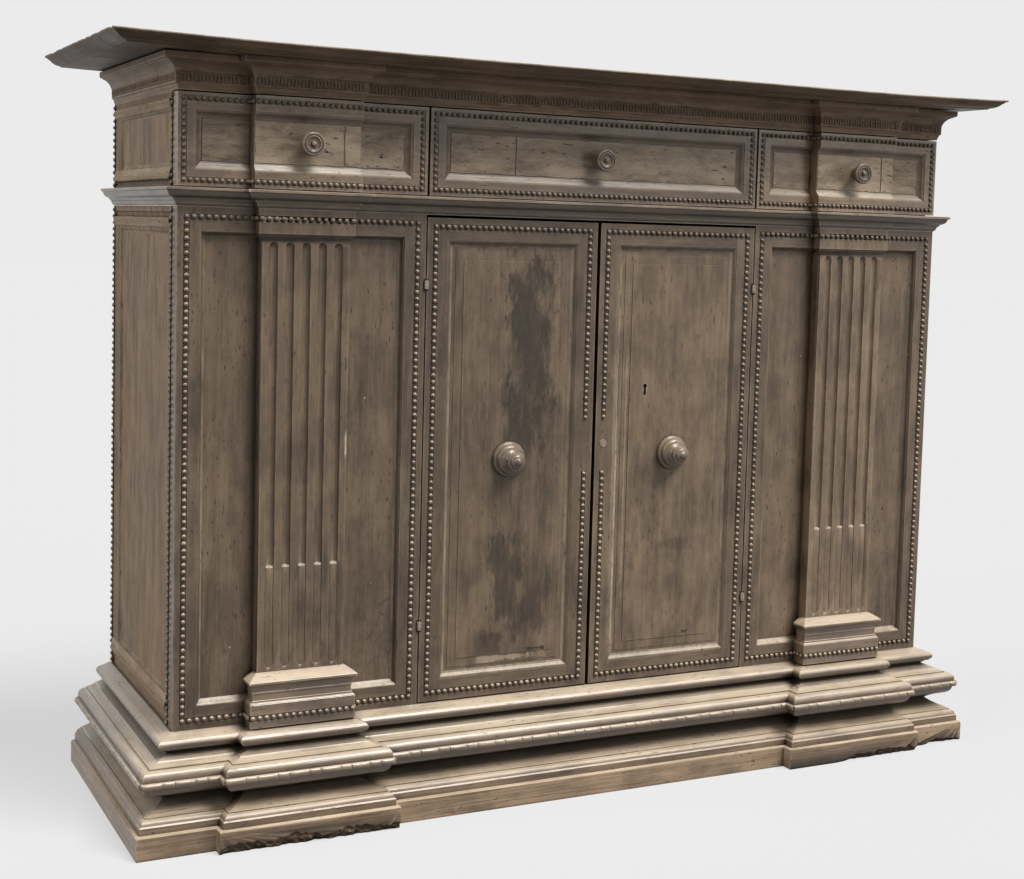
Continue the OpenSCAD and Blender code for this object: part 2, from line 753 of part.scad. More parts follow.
module left_bay_frame() { color(WALNUT) bay_frame(-1); }
module right_bay_frame() { color(WALNUT) bay_frame(1); }
module left_bay_panel() { color(WALNUT_DARK) bay_panel(-1); }
module right_bay_panel() { color(WALNUT_DARK) bay_panel(1); }
module left_bay_beading() { color(WALNUT_LIGHT) bay_beading(-1); }
module right_bay_beading() { color(WALNUT_LIGHT) bay_beading(1); }
module left_pilaster() { color(WALNUT) pilaster(-1); }
module right_pilaster() { color(WALNUT) pilaster(1); }
module left_pilaster_base() { color(WALNUT_LIGHT) pilaster_base(-1); }
module right_pilaster_base() { color(WALNUT_LIGHT) pilaster_base(1); }

// Upper parts

module string_course() {
    color(WALNUT_LIGHT) placed() translate([0, 0, main_top])
        pier_ring(string_outline, pier_half, pier_string_out, half_w, front_t, body_d + 1);
}

module drawer_deck() {
    color(POPLAR) placed()
        difference() {
            translate([-inner_half_w, front_t, deck_z]) cube([2 * inner_half_w, back_front - front_t, deck_t]);
            translate([rod_x, rod_y, deck_z - 1]) cylinder(d = rod_d + 1.5, h = deck_t + 2);
        }
}

module drawer_dividers() {
    color(POPLAR) placed()
        for (side = [-1, 1])
            translate([side * divider_x - divider_t / 2, front_t + 2, drawer_z])
                cube([divider_t, back_front - front_t - 2, cornice_top - drawer_z]);
}

module cornice() {
    color(WALNUT) placed() translate([0, 0, drawer_top])
        pier_ring(cornice_outline, drawer_pier_w / 2, drawer_pier_out, inner_half_w, front_t, body_d + 1);
}

module top_board() {
    color(WALNUT) placed() translate([0, 0, cornice_top])
        mitred_block(-half_w - top_out_left, half_w + top_out_right, -top_out, body_d, top_outline, top_outline);
}

module shelf() {
    color(POPLAR) placed()
        translate([-inner_half_w, shelf_setback, main_z + shelf_z])
            cube([2 * inner_half_w, back_front - shelf_setback, shelf_t]);
}

module shelf_bearers() {
    bearer_z = main_z + shelf_z - bearer_s;
    color(POPLAR) placed() {
        for (side = [-1, 1])
            translate([side * (inner_half_w - bearer_s / 2) - bearer_s / 2, front_t + 2, bearer_z])
                cube([bearer_s, back_front - front_t - 2, bearer_s]);
        translate([-inner_half_w + bearer_s + 1, back_front - bearer_s, bearer_z])
            cube([2 * (inner_half_w - bearer_s - 1), bearer_s, bearer_s]);
    }
}

// Doors, drawn on the right and mirrored

module door_frame(side) {
    patch_reach = bead_d / 2 + channel_gap;
    placed() mirrored(side)
        difference() {
            union() {
                framed(door_x0, door_x1, door_z0, door_z1, front_t, door_mould_w, door_panel_depth, frame_w);
                translate([door_x0 + bead_inset - patch_reach, 0, patch_z - patch_half])
                    cube([2 * patch_reach, channel_depth + EPS, 2 * patch_half]);
            }
            for (z = hinge_levels) {
                hinge_recess(z);
                hinge_spike(z + door_eye_z, -1, spike_clearance);
            }
        }
}

module door_panel(side) {
    open_w = door_w - 2 * frame_w;
    open_h = door_h - 2 * frame_w;
    field_w = open_w - 2 * door_mould_w - 2 * door_field_margin;
    field_h = open_h - 2 * door_mould_w - 2 * door_field_margin;
    ledge_w = open_w - 2 * door_mould_w - 2 * door_ledge_margin;
    ledge_h = open_h - 2 * door_mould_w - 2 * door_ledge_margin;
    placed() mirrored(side)
        difference() {
            translate([door_mid, 0, door_mid_z]) {
                panel_plate(open_w, open_h, door_mould_w, door_panel_depth);
                translate([-ledge_w / 2, door_panel_depth - door_ledge_h, -ledge_h / 2])
                    cube([ledge_w, door_ledge_h + EPS, ledge_h]);
                translate([-field_w / 2, door_panel_depth - door_field_h, -field_h / 2])
                    cube([field_w, door_field_h + EPS, field_h]);
            }
            translate([door_mid, 0, door_mid_z]) rotate([-90, 0, 0])
                cylinder(d = knob_tenon_d + 2 * tenon_clearance, h = front_t);
            if (side > 0) keyhole();
        }
}

module keyhole() {
    translate([keyhole_x, 0, lock_z]) {
        rotate([-90, 0, 0]) cylinder(d = keyhole_d, h = front_t, $fn = 32);
        translate([-keyhole_slot_w / 2, 0, -keyhole_slot_h]) cube([keyhole_slot_w, front_t, keyhole_slot_h]);
    }
}

// The beads stop on both sides of a plain patch beside the meeting edge
module door_beading(side) {
    low = door_z0 + bead_inset;
    high = door_z1 - bead_inset;
    reach = bead_pitch / 2;
    x0 = door_x0 + bead_inset;
    x1 = door_x1 - bead_inset;
    placed() mirrored(side) {
        upright_row(x0, low - bead_end, patch_z - patch_half, bead_d, bead_pitch);
        upright_row(x0, patch_z + patch_half, high + bead_end, bead_d, bead_pitch);
        upright_row(x1, low - bead_end, high + bead_end, bead_d, bead_pitch);
        for (z = [low, high]) level_row(x0 + reach + row_gap, x1 - reach - row_gap, z, bead_d, bead_pitch);
    }
}

module door_knob(side) {
    r = door_knob_d / 2;
    length = door_knob_len;
    outline = concat(
        [[0, 0], [r, 0], [r, 2]],
        bow([r, 2.5], [r * 0.88, length * 0.17], -1, 4),
        [[r * 0.83, length * 0.18], [r * 0.83, length * 0.2]],
        bow([r * 0.84, length * 0.21], [r * 0.66, length * 0.34], -1.2, 4),
        [[r * 0.6, length * 0.35]],
        bow([r * 0.56, length * 0.38], [r * 0.36, length * 0.56], 1.2, 5),
        [[r * 0.36, length * 0.6]],
        bow([r * 0.4, length * 0.62], [r * 0.52, length * 0.74], -1.2, 4),
        [[r * 0.44, length * 0.76], [r * 0.44, length * 0.79]],
        bow([r * 0.4, length * 0.8], [r * 0.32, length * 0.88], -0.6, 3),
        [[r * 0.25, length * 0.89]],
        bow([r * 0.23, length * 0.91], [r * 0.04, length], -0.8, 4),
        [[0, length]]);
    placed() mirrored(side)
        translate([door_mid, door_panel_depth - door_field_h, door_mid_z]) {
            rotate([90, 0, 0]) rotate_extrude() polygon(outline);
            rotate([-90, 0, 0]) cylinder(d = knob_tenon_d, h = panel_t + door_field_h + 4);
        }
}

// Hinges: a pin and eye on the frame, and an eye on the door that turns on the pin

module hinge_recess(z) {
    translate([hinge_x, hinge_y, z - hinge_recess_h / 2]) cylinder(d = hinge_recess_d, h = hinge_recess_h);
}

module hinge_spike(z, way, extra = 0) {
    translate([hinge_x - way * hinge_neck_t / 2, spike_y, z])
        rotate([0, way * 90, 0])
            cylinder(d = spike_d + 2 * extra, h = hinge_spike_len + extra, $fn = 24);
}

// Eye with its flat neck in the gap and the spike that is driven into the wood on side way
module hinge_eye(z, way) {
    translate([hinge_x, hinge_y, z - hinge_eye_h / 2]) cylinder(d = hinge_eye_d, h = hinge_eye_h, $fn = 40);
    translate([hinge_x - hinge_neck_t / 2, hinge_y, z - hinge_neck_h / 2])
        cube([hinge_neck_t, spike_y - hinge_y + spike_d / 2, hinge_neck_h]);
    hinge_spike(z, way);
}

module jamb_hinges() {
    color(IRON) placed()
        for (side = [-1, 1])
            mirrored(side)
                for (z = hinge_levels) {
                    hinge_eye(z + jamb_eye_z, 1);
                    translate([hinge_x, hinge_y, z - EPS]) cylinder(d = hinge_pin_d, h = hinge_eye_h + 2, $fn = 40);
                }
}

module door_hinges(side) {
    placed() mirrored(side)
        for (z = hinge_levels)
            difference() {
                hinge_eye(z + door_eye_z, -1);
                translate([hinge_x, hinge_y, z - 1])
                    cylinder(d = hinge_pin_d + 2 * hinge_clearance, h = hinge_eye_h + 4, $fn = 40);
            }
}

module left_door_frame() { color(WALNUT) door_frame(-1); }
module right_door_frame() { color(WALNUT) door_frame(1); }
module left_door_panel() { color(WALNUT_DARK) door_panel(-1); }
module right_door_panel() { color(WALNUT_DARK) door_panel(1); }
module left_door_beading() { color(WALNUT_LIGHT) door_beading(-1); }
module right_door_beading() { color(WALNUT_LIGHT) door_beading(1); }
module left_door_knob() { color(WALNUT_LIGHT) door_knob(-1); }
module right_door_knob() { color(WALNUT_LIGHT) door_knob(1); }
module left_door_hinges() { color(IRON) door_hinges(-1); }
module right_door_hinges() { color(IRON) door_hinges(1); }

// Lock on the right door, with its bolt, and the keeper on the left door

module door_lock() {
    color(IRON) placed()
        difference() {
            translate([lock_x0, front_t, lock_z - lock_h / 2]) cube([lock_x1 - lock_x0, lock_t, lock_h]);
            translate([lock_x0 - 1, bolt_y - lock_bolt_t / 2 - lock_clearance,
                    lock_z - lock_bolt_h / 2 - lock_clearance])
                cube([lock_x1 - lock_x0 - lock_wall + 1, lock_bolt_t + 2 * lock_clearance,
                    lock_bolt_h + 2 * lock_clearance]);
            translate([keyhole_x, front_t - 1, lock_z]) rotate([-90, 0, 0])
                cylinder(d = keyhole_d, h = lock_wall, $fn = 32);
        }
}

module lock_bolt() {
    color(IRON) placed()
        translate([bolt_rest_x, bolt_y - lock_bolt_t / 2, lock_z - lock_bolt_h / 2])
            cube([lock_x1 - lock_wall - 8 - bolt_rest_x, lock_bolt_t, lock_bolt_h]);
}

module lock_keeper() {
    keeper_h = lock_bolt_h + 14;
    color(IRON) placed()
        difference() {
            translate([keeper_x0, front_t, lock_z - keeper_h / 2])
                cube([keeper_x1 - keeper_x0, lock_t, keeper_h]);
            translate([keeper_x0 - 1, bolt_y - lock_bolt_t / 2 - 1.2, lock_z - lock_bolt_h / 2 - 1.5])
                cube([keeper_x1 - keeper_x0 + 2, lock_bolt_t + 2.4, lock_bolt_h + 3]);
        }
}

module bolt_staples() {
    color(IRON) placed()
        for (z = staple_levels)
            difference() {
                translate([rod_x - staple_w / 2, front_t, z])
                    cube([staple_w, rod_y - front_t + rod_d / 2 + 3, staple_h]);
                translate([rod_x, rod_y, z - 1]) cylinder(d = rod_d + 2 * rod_clearance, h = staple_h + 2);
            }
}

module door_bolt() {
    color(IRON) placed() {
        translate([rod_x, rod_y, rod_top - rod_len]) cylinder(d = rod_d, h = rod_len);
        translate([rod_x, rod_y, rod_grip_z]) rotate([-90, 0, 0]) cylinder(d = rod_d - 1, h = 16);
    }
}

// Drawers. Each is given by the left and right end of its front and of its box.

drawer_fronts = [[-half_w, -drawer_split - drawer_side_gap / 2],
    [-drawer_split + drawer_side_gap / 2, drawer_split - drawer_side_gap / 2],
    [drawer_split + drawer_side_gap / 2, half_w]];
drawer_boxes = [[-inner_half_w + box_side_gap, -divider_x - divider_t / 2 - box_side_gap],
    [-divider_x + divider_t / 2 + box_side_gap, divider_x - divider_t / 2 - box_side_gap],
    [divider_x + divider_t / 2 + box_side_gap, inner_half_w - box_side_gap]];
drawer_knob_x = [-pier_x, 0, pier_x];
drawer_breaks = [drawer_pier_out, 0, drawer_pier_out];

// Edge of the break in an outer drawer front, from its corner to the field, as [depth, distance in]
function break_edge() =
    let(half = drawer_bead_d / 2 + channel_gap, mould = frame_mould(drawer_mould_w, drawer_panel_depth))
    concat([[0, 0], [0, drawer_bead_inset - half], [channel_depth, drawer_bead_inset - half],
            [channel_depth, drawer_bead_inset + half], [0, drawer_bead_inset + half]],
        [for (m = mould) [m[1], drawer_frame_w + m[0]]]);

// Section of the break, as [y, z]
function break_section(h) =
    let(edge = break_edge(), back = drawer_panel_depth + 1)
    concat([[back, 0]],
        [for (e = edge) [e[0] - drawer_pier_out, e[1]]],
        [for (i = [len(edge) - 1 : -1 : 0]) [edge[i][0] - drawer_pier_out, h - edge[i][1]]],
        [[back, h]]);

module drawer_front(i) {
    x0 = drawer_fronts[i][0];
    x1 = drawer_fronts[i][1];
    h = drawer_z1 - drawer_z0;
    placed()
        difference() {
            union() {
                difference() {
                    translate([x0, 0, drawer_z0]) cube([x1 - x0, front_t, h]);
                    translate([(x0 + x1) / 2, 0, drawer_mid_z])
                        sunk_void(x1 - x0 - 2 * drawer_frame_w, h - 2 * drawer_frame_w,
                            frame_mould(drawer_mould_w, drawer_panel_depth), drawer_panel_depth);
                    bead_channel(x0, x1, drawer_z0, drawer_z1, drawer_bead_inset, drawer_bead_d);
                }
                if (drawer_breaks[i] > 0)
                    translate([drawer_knob_x[i] - drawer_pier_w / 2, 0, drawer_z0])
                        rotate([90, 0, 90]) linear_extrude(drawer_pier_w)
                            polygon(break_section(h));
            }
            translate([drawer_knob_x[i], -drawer_pier_out, drawer_mid_z]) rotate([-90, 0, 0])
                cylinder(d = knob_tenon_d + 2 * tenon_clearance, h = front_t + drawer_pier_out + 1);
        }
}

module drawer_box(i) {
    x0 = drawer_boxes[i][0];
    x1 = drawer_boxes[i][1];
    placed()
        translate([x0, front_t, box_z + box_bottom_t])
            difference() {
                cube([x1 - x0, box_d, box_h]);
                translate([box_t, -1, -1]) cube([x1 - x0 - 2 * box_t, box_d - box_t + 1, box_h + 2]);
            }
}

module drawer_bottom(i) {
    x0 = drawer_boxes[i][0];
    x1 = drawer_boxes[i][1];
    placed() translate([x0, front_t, box_z]) cube([x1 - x0, box_d, box_bottom_t]);
}

module drawer_beading(i) {
    d = drawer_bead_d;
    pitch = drawer_bead_pitch;
    reach = pitch / 2;
    x0 = drawer_fronts[i][0] + drawer_bead_inset;
    x1 = drawer_fronts[i][1] - drawer_bead_inset;
    break_x0 = drawer_knob_x[i] - drawer_pier_w / 2;
    break_x1 = drawer_knob_x[i] + drawer_pier_w / 2;
    low = drawer_z0 + drawer_bead_inset;
    high = drawer_z1 - drawer_bead_inset;
    out = drawer_breaks[i];
    ball = d / 2 + row_gap;
    placed() {
        for (x = [x0, x1]) upright_row(x, low - drawer_bead_end, high + drawer_bead_end, d, pitch);
        for (z = [low, high])
            if (out > 0) {
                level_row(x0 + reach + row_gap, break_x0 - ball, z, d, pitch);
                level_row(break_x1 + ball, x1 - reach - row_gap, z, d, pitch);
                translate([0, -out, 0]) level_row(break_x0, break_x1, z, d, pitch);
                return_rows(break_x0, break_x1, out - ball, z, d, pitch, 0);
            } else {
                level_row(x0 + reach + row_gap, x1 - reach - row_gap, z, d, pitch);
            }
    }
}

module drawer_knob(i) {
    r = drawer_knob_d / 2;
    length = drawer_knob_len;
    outline = concat(
        [[0, 0], [r * 0.66, 0], [r * 0.66, 2]],
        bow([r * 0.6, 2.5], [r * 0.62, length * 0.5], 1.2, 4),
        bow([r * 0.66, length * 0.53], [r * 0.97, length * 0.68], 0.8, 3),
        [[r, length * 0.7], [r, length * 0.84]],
        bow([r * 0.98, length * 0.86], [r * 0.82, length * 0.92], -0.7, 3),
        [[r * 0.79, length * 0.87], [r * 0.75, length * 0.87]],
        bow([r * 0.73, length * 0.89], [r * 0.58, length * 0.91], -0.7, 3),
        bow([r * 0.55, length * 0.87], [r * 0.26, length * 0.84], 0.5, 3),
        bow([r * 0.22, length * 0.88], [r * 0.06, length], -0.9, 4),
        [[0, length]]);
    back = front_t - drawer_panel_depth + drawer_breaks[i];
    placed()
        translate([drawer_knob_x[i], drawer_panel_depth - drawer_breaks[i], drawer_mid_z]) {
            rotate([90, 0, 0]) rotate_extrude() polygon(outline);
            rotate([-90, 0, 0]) cylinder(d = knob_tenon_d, h = back - 1);
        }
}

module left_drawer_front() { color(WALNUT) drawer_front(0); }
module left_drawer_box() { color(POPLAR) drawer_box(0); }
module left_drawer_bottom() { color(POPLAR) drawer_bottom(0); }
module left_drawer_beading() { color(WALNUT_LIGHT) drawer_beading(0); }
module left_drawer_knob() { color(WALNUT_LIGHT) drawer_knob(0); }
module middle_drawer_front() { color(WALNUT) drawer_front(1); }
module middle_drawer_box() { color(POPLAR) drawer_box(1); }
module middle_drawer_bottom() { color(POPLAR) drawer_bottom(1); }
module middle_drawer_beading() { color(WALNUT_LIGHT) drawer_beading(1); }
module middle_drawer_knob() { color(WALNUT_LIGHT) drawer_knob(1); }
module right_drawer_front() { color(WALNUT) drawer_front(2); }
module right_drawer_box() { color(POPLAR) drawer_box(2); }
module right_drawer_bottom() { color(POPLAR) drawer_bottom(2); }
module right_drawer_beading() { color(WALNUT_LIGHT) drawer_beading(2); }
module right_drawer_knob() { color(WALNUT_LIGHT) drawer_knob(2); }

plinth();
plinth_cap();
base_torus();
base_nosing();
bottom_board();
left_side_frame();
left_side_panels();
left_side_beading();
right_side_frame();
right_side_panels();
right_side_beading();
back_boards();
left_bay_frame();
left_bay_panel();
left_bay_beading();
left_pilaster();
left_pilaster_base();
right_bay_frame();
right_bay_panel();
right_bay_beading();
right_pilaster();
right_pilaster_base();
string_course();
drawer_deck();
drawer_dividers();
cornice();
top_board();
shelf();
shelf_bearers();
left_door_frame();
left_door_panel();
left_door_beading();
left_door_knob();
left_door_hinges();
right_door_frame();
right_door_panel();
right_door_beading();
right_door_knob();
right_door_hinges();
jamb_hinges();
door_lock();
lock_bolt();
lock_keeper();
bolt_staples();
door_bolt();
left_drawer_front();
left_drawer_box();
left_drawer_bottom();
left_drawer_beading();
left_drawer_knob();
middle_drawer_front();
middle_drawer_box();
middle_drawer_bottom();
middle_drawer_beading();
middle_drawer_knob();
right_drawer_front();
right_drawer_box();
right_drawer_bottom();
right_drawer_beading();
right_drawer_knob();
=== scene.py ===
"""Looks of a walnut credenza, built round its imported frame. Lengths are metres unless a name says mm."""

import math
import random

import bmesh
import bpy
from mathutils import Matrix, Vector, noise


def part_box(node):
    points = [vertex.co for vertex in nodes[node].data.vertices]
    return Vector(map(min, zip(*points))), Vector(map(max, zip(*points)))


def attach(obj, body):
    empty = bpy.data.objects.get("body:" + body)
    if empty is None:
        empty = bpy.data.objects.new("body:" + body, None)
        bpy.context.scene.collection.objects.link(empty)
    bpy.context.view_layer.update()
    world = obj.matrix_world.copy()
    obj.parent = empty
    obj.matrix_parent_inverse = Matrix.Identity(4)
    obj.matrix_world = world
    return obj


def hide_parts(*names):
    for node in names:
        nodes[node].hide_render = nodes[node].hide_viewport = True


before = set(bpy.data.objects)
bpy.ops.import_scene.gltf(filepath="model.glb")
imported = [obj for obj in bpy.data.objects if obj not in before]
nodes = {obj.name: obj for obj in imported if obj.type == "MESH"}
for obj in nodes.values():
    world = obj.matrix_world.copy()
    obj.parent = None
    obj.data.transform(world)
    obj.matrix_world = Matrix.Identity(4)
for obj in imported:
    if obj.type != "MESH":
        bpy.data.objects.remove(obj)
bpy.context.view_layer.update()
MM = 0.001

# Camera, as the vertical and level edges of the real piece give it
PHOTO_WIDTH = 1024
CAMERA_PLACE = Vector((-1.2572, -2.5805, 0.9229))
CAMERA_YAW = math.radians(28.24)
CAMERA_PITCH = math.radians(4.68)
CAMERA_ROLL = math.radians(1.76)
FOCAL_PIXELS = 1656.6
SENSOR_MM = 36
FRAME_SHIFT = (-0.0938, -0.0702)

# Places read from the frame
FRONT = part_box("left_bay_frame")[0].y
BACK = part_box("left_side_frame")[1].y
MIDDLE = (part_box("left_bay_frame")[0].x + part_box("right_bay_frame")[1].x) / 2
HALF_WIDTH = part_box("right_bay_frame")[1].x - MIDDLE
PIER_X = (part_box("right_pilaster")[0].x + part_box("right_pilaster")[1].x) / 2 - MIDDLE

# Rows of beads: distance from the edge, size, pitch and depth of the channel that they stand in
BEAD_INSET = 14 * MM
BEAD_SIZE = 7.6 * MM
BEAD_PITCH = 10.6 * MM
DRAWER_BEAD_INSET = 9 * MM
DRAWER_BEAD_SIZE = 6.9 * MM
DRAWER_BEAD_PITCH = 9.4 * MM
CHANNEL_DEPTH = 1.2 * MM
SIDE_BEAD_INSET = 6 * MM
BACK_BEAD_INSET = 8 * MM
BLOCK_BEAD_UP = 15.5 * MM
BEADS_MISSING_TO = 617 * MM
FRAME_WIDTH = 35 * MM
SIDE_RAIL_WIDTH = 30 * MM

# Breaks at the piers: half width and depth of the base and cap blocks, and depth of the other breaks
BLOCK_HALF = 82 * MM
BLOCK_OUT = 32 * MM
CAP_HALF = 74 * MM
CAP_OUT = 19 * MM
BREAK_OUT = 22 * MM
PIERS = {"left": -PIER_X, "middle": 0, "right": PIER_X}

# Fluted shafts of the piers
SHAFT_WIDTH = 135 * MM
SHAFT_OUT = 13 * MM
CAP_BLOCK_HEIGHT = 36 * MM
CAP_FILLETS = 10.5 * MM
FLUTE_COUNT = 5
FLUTE_PITCH = 25 * MM
FLUTE_HALF = 6.6 * MM
FLUTE_DEPTH = 4.8 * MM
REED_HEIGHT = 158 * MM
REED_SLOPE = 5 * MM

# Bars of one key of the cornice band in mm: place along and up, length, height, and share of the full depth
KEY_PITCH = 11 * MM
KEY_BARS = [(-2.9, 0, 3.0, 12, 1), (0.7, 4.9, 4.2, 2.2, 1), (2.4, 1.2, 2.2, 6.4, 0.9),
            (1.8, -5.2, 4.6, 1.6, 0.9)]

AHEAD = Vector((0, -1, 0))


def linear(code, tone=1.0):
    """Linear RGBA of an sRGB hex colour, made darker or lighter by tone."""
    channels = [int(code[i:i + 2], 16) / 255 for i in (1, 3, 5)]
    plain = [c / 12.92 if c <= 0.04045 else ((c + 0.055) / 1.055) ** 2.4 for c in channels]
    return (*(tone * c for c in plain), 1.0)


def add(tree, kind, inputs=None, **settings):
    """Adds one node with its settings, and fills or links its inputs."""
    made = tree.nodes.new("ShaderNode" + kind)
    for key, value in settings.items():
        setattr(made, key, value)
    for key, value in (inputs or {}).items():
        if isinstance(value, bpy.types.Node):
            value = next(socket for socket in value.outputs if socket.enabled)
        if isinstance(value, bpy.types.NodeSocket):
            tree.links.new(value, made.inputs[key])
        else:
            made.inputs[key].default_value = value
    return made


def new_material(name):
    """An empty material and its node tree."""
    material = bpy.data.materials.new(name)
    material.use_nodes = True
    material.node_tree.nodes.clear()
    return material, material.node_tree


def grain_space(tree, grain, rails):
    """Object coordinates turned so that the grain runs along Z.

    In a moulding with mitres it turns with each run, and in the rails of a frame it runs across.
    """
    place = add(tree, "TexCoord").outputs["Object"]
    split = add(tree, "SeparateXYZ", {0: place})
    x, y, z = (split.outputs[i] for i in range(3))
    turned = {"z": (x, y, z), "x": (z, y, x), "y": (x, z, y)}
    upright = add(tree, "CombineXYZ", dict(enumerate(turned[grain])))
    if rails is None:
        return place, upright
    if rails == "mitre":
        off_x = add(tree, "Math", {0: x, 1: MIDDLE}, operation="SUBTRACT")
        out_x = add(tree, "Math", {0: add(tree, "Math", {0: off_x}, operation="ABSOLUTE"), 1: HALF_WIDTH},
                    operation="SUBTRACT")
        out_y = add(tree, "Math", {0: FRONT, 1: y}, operation="SUBTRACT")
        mask = add(tree, "Math", {0: out_x, 1: out_y}, operation="GREATER_THAN")
        across = add(tree, "CombineXYZ", {0: x, 1: z, 2: y})
    else:
        axis, low, high, width = rails
        middle = (low + high) / 2
        half = (high - low) / 2
        off_z = add(tree, "Math", {0: z, 1: middle[1]}, operation="SUBTRACT")
        off_z = add(tree, "Math", {0: off_z}, operation="ABSOLUTE")
        off_a = add(tree, "Math", {0: x if axis == "x" else y, 1: middle[0]}, operation="SUBTRACT")
        off_a = add(tree, "Math", {0: off_a}, operation="ABSOLUTE")
        in_rail = add(tree, "Math", {0: off_z, 1: half[1] - width}, operation="GREATER_THAN")
        between = add(tree, "Math", {0: off_a, 1: half[0] - width}, operation="LESS_THAN")
        mask = add(tree, "Math", {0: in_rail, 1: between}, operation="MULTIPLY")
        across = add(tree, "CombineXYZ", {0: z, 1: y, 2: x} if axis == "x" else {0: x, 1: z, 2: y})
    return place, add(tree, "Mix", {0: mask, 4: upright, 5: across}, data_type="VECTOR")


def wood(name, grain="z", rails=None, dark="#43372b", middle="#826e59", light="#c9b69c", dirt_and_shade="#130f0b",
         seed=0, tone=1.0, gloss=(0.36, 0.5), wax=0.2, shine=0.3, dust_and_top_light=0.25, wear=0.6, pits=0.5, depth=8,
         lines=0.18, below=0.5, cracked=None, stains_and_shade=()):
    """Walnut, planed by hand and waxed for centuries.

    Its figure is about 25 mm across the grain, with soft streaks 3 mm wide. Worm and nails have left dark
    pits. Handling has rubbed the arrises pale, and dirt and old wax have gathered in the hollows, which are
    also painted darker as shade. What faces up is painted paler as if lit, and what faces down darker as
    shade.

    gloss is its roughness, least and most, wax the weight of its coat, and shine its specular level.
    dust_and_top_light, wear, pits and lines say how much of each shows, the first being dust and painted
    light on what faces up, and below how dark the painted shade is on a face that looks down. depth is how
    far dirt and painted shade reach out of a hollow, in mm.
    """
    material, tree = new_material(name)
    place, grained = grain_space(tree, grain, rails)
    shift = add(tree, "VectorMath", {0: grained, 1: (seed * 1.37, seed * 0.71, seed * 2.3)}, operation="ADD")
    board = add(tree, "VectorMath", {0: shift, 1: (1, 1, 0.07)}, operation="MULTIPLY")
    fibre = add(tree, "VectorMath", {0: shift, 1: (1, 1, 0.02)}, operation="MULTIPLY")
    short = add(tree, "VectorMath", {0: shift, 1: (1, 1, 0.3)}, operation="MULTIPLY")

    # Figure 25 mm across, streaks 3 mm across, and clouds 120 mm and 25 mm across
    figure = add(tree, "TexNoise", {"Vector": board, "Scale": 40, "Detail": 4, "Roughness": 0.6,
                                    "Distortion": 0.8})
    streak = add(tree, "TexNoise", {"Vector": fibre, "Scale": 330, "Detail": 2, "Roughness": 0.6})
    cloud = add(tree, "TexNoise", {"Vector": place, "Scale": 8.3, "Detail": 3, "Roughness": 0.6})
    mottle = add(tree, "TexNoise", {"Vector": short, "Scale": 40, "Detail": 6, "Roughness": 0.75})
    shade = add(tree, "MapRange", {0: figure, 1: 0.40, 2: 0.60, 3: 0, 4: 0.20})
    streak_step = add(tree, "MapRange", {0: streak, 1: 0.34, 2: 0.66, 3: 0, 4: lines})
    for part in (streak_step, add(tree, "MapRange", {0: cloud, 1: 0.42, 2: 0.58, 3: 0, 4: 0.30}),
                 add(tree, "MapRange", {0: mottle, 1: 0.41, 2: 0.59, 3: 0, 4: 0.34})):
        shade = add(tree, "Math", {0: shade, 1: part}, operation="ADD")
    body = add(tree, "Mix", {0: shade, 6: linear(dark, tone), 7: linear(middle, tone)}, data_type="RGBA")

    # Worm holes 1.6 mm wide and pale chips 3 mm wide in some cells of a 32 mm pattern
    cell = add(tree, "TexVoronoi", {"Vector": place, "Scale": 31})
    pick = add(tree, "SeparateColor", {0: cell.outputs["Color"]})
    hole = add(tree, "MapRange", {0: cell.outputs["Distance"], 1: 0.022, 2: 0.045, 3: 1, 4: 0})
    holed = add(tree, "Math", {0: pick.outputs[0], 1: 1 - pits * 0.7}, operation="GREATER_THAN")
    hole = add(tree, "Math", {0: hole, 1: holed}, operation="MULTIPLY")
    ragged = add(tree, "Math", {0: mottle, 1: 0.22, 2: cell.outputs["Distance"]}, operation="MULTIPLY_ADD")
    chip = add(tree, "MapRange", {0: ragged, 1: 0.14, 2: 0.16, 3: 0.8, 4: 0})
    chipped = add(tree, "Math", {0: pick.outputs[1], 1: 0.9}, operation="GREATER_THAN")
    chip = add(tree, "Math", {0: chip, 1: chipped}, operation="MULTIPLY")

    # Short dark pits 2 mm wide along the grain, and checks where the surface has opened
    pit = add(tree, "TexNoise", {"Vector": short, "Scale": 240, "Detail": 2, "Roughness": 0.5})
    where = add(tree, "MapRange", {0: cloud, 1: 0.42, 2: 0.6, 3: 0.0, 4: 0.07})
    pit = add(tree, "Math", {0: pit, 1: where}, operation="SUBTRACT")
    pit = add(tree, "MapRange", {0: pit, 1: 0.30, 2: 0.24, 3: 0, 4: 0.4 + pits * 0.6})
    spots = add(tree, "Math", {0: hole, 1: pit}, operation="MAXIMUM")
    if cracked:
        bent = add(tree, "Mix", {0: 0.03, 4: place, 5: mottle.outputs["Color"]}, data_type="VECTOR")
        check = add(tree, "TexVoronoi", {"Vector": bent, "Scale": 30}, feature="DISTANCE_TO_EDGE")
        check = add(tree, "MapRange", {0: check, 1: 0.008, 2: 0.03, 3: 1, 4: 0})
        far = patch_distance(tree, place, *cracked)
        open_here = add(tree, "MapRange", {0: far, 1: 1.0, 2: 0.5, 3: 0, 4: 0.9})
        dry = add(tree, "MapRange", {0: figure, 1: 0.48, 2: 0.54})
        open_here = add(tree, "Math", {0: open_here, 1: dry}, operation="MULTIPLY")
        check = add(tree, "Math", {0: check, 1: open_here}, operation="MULTIPLY")
        spots = add(tree, "Math", {0: spots, 1: check}, operation="MAXIMUM")
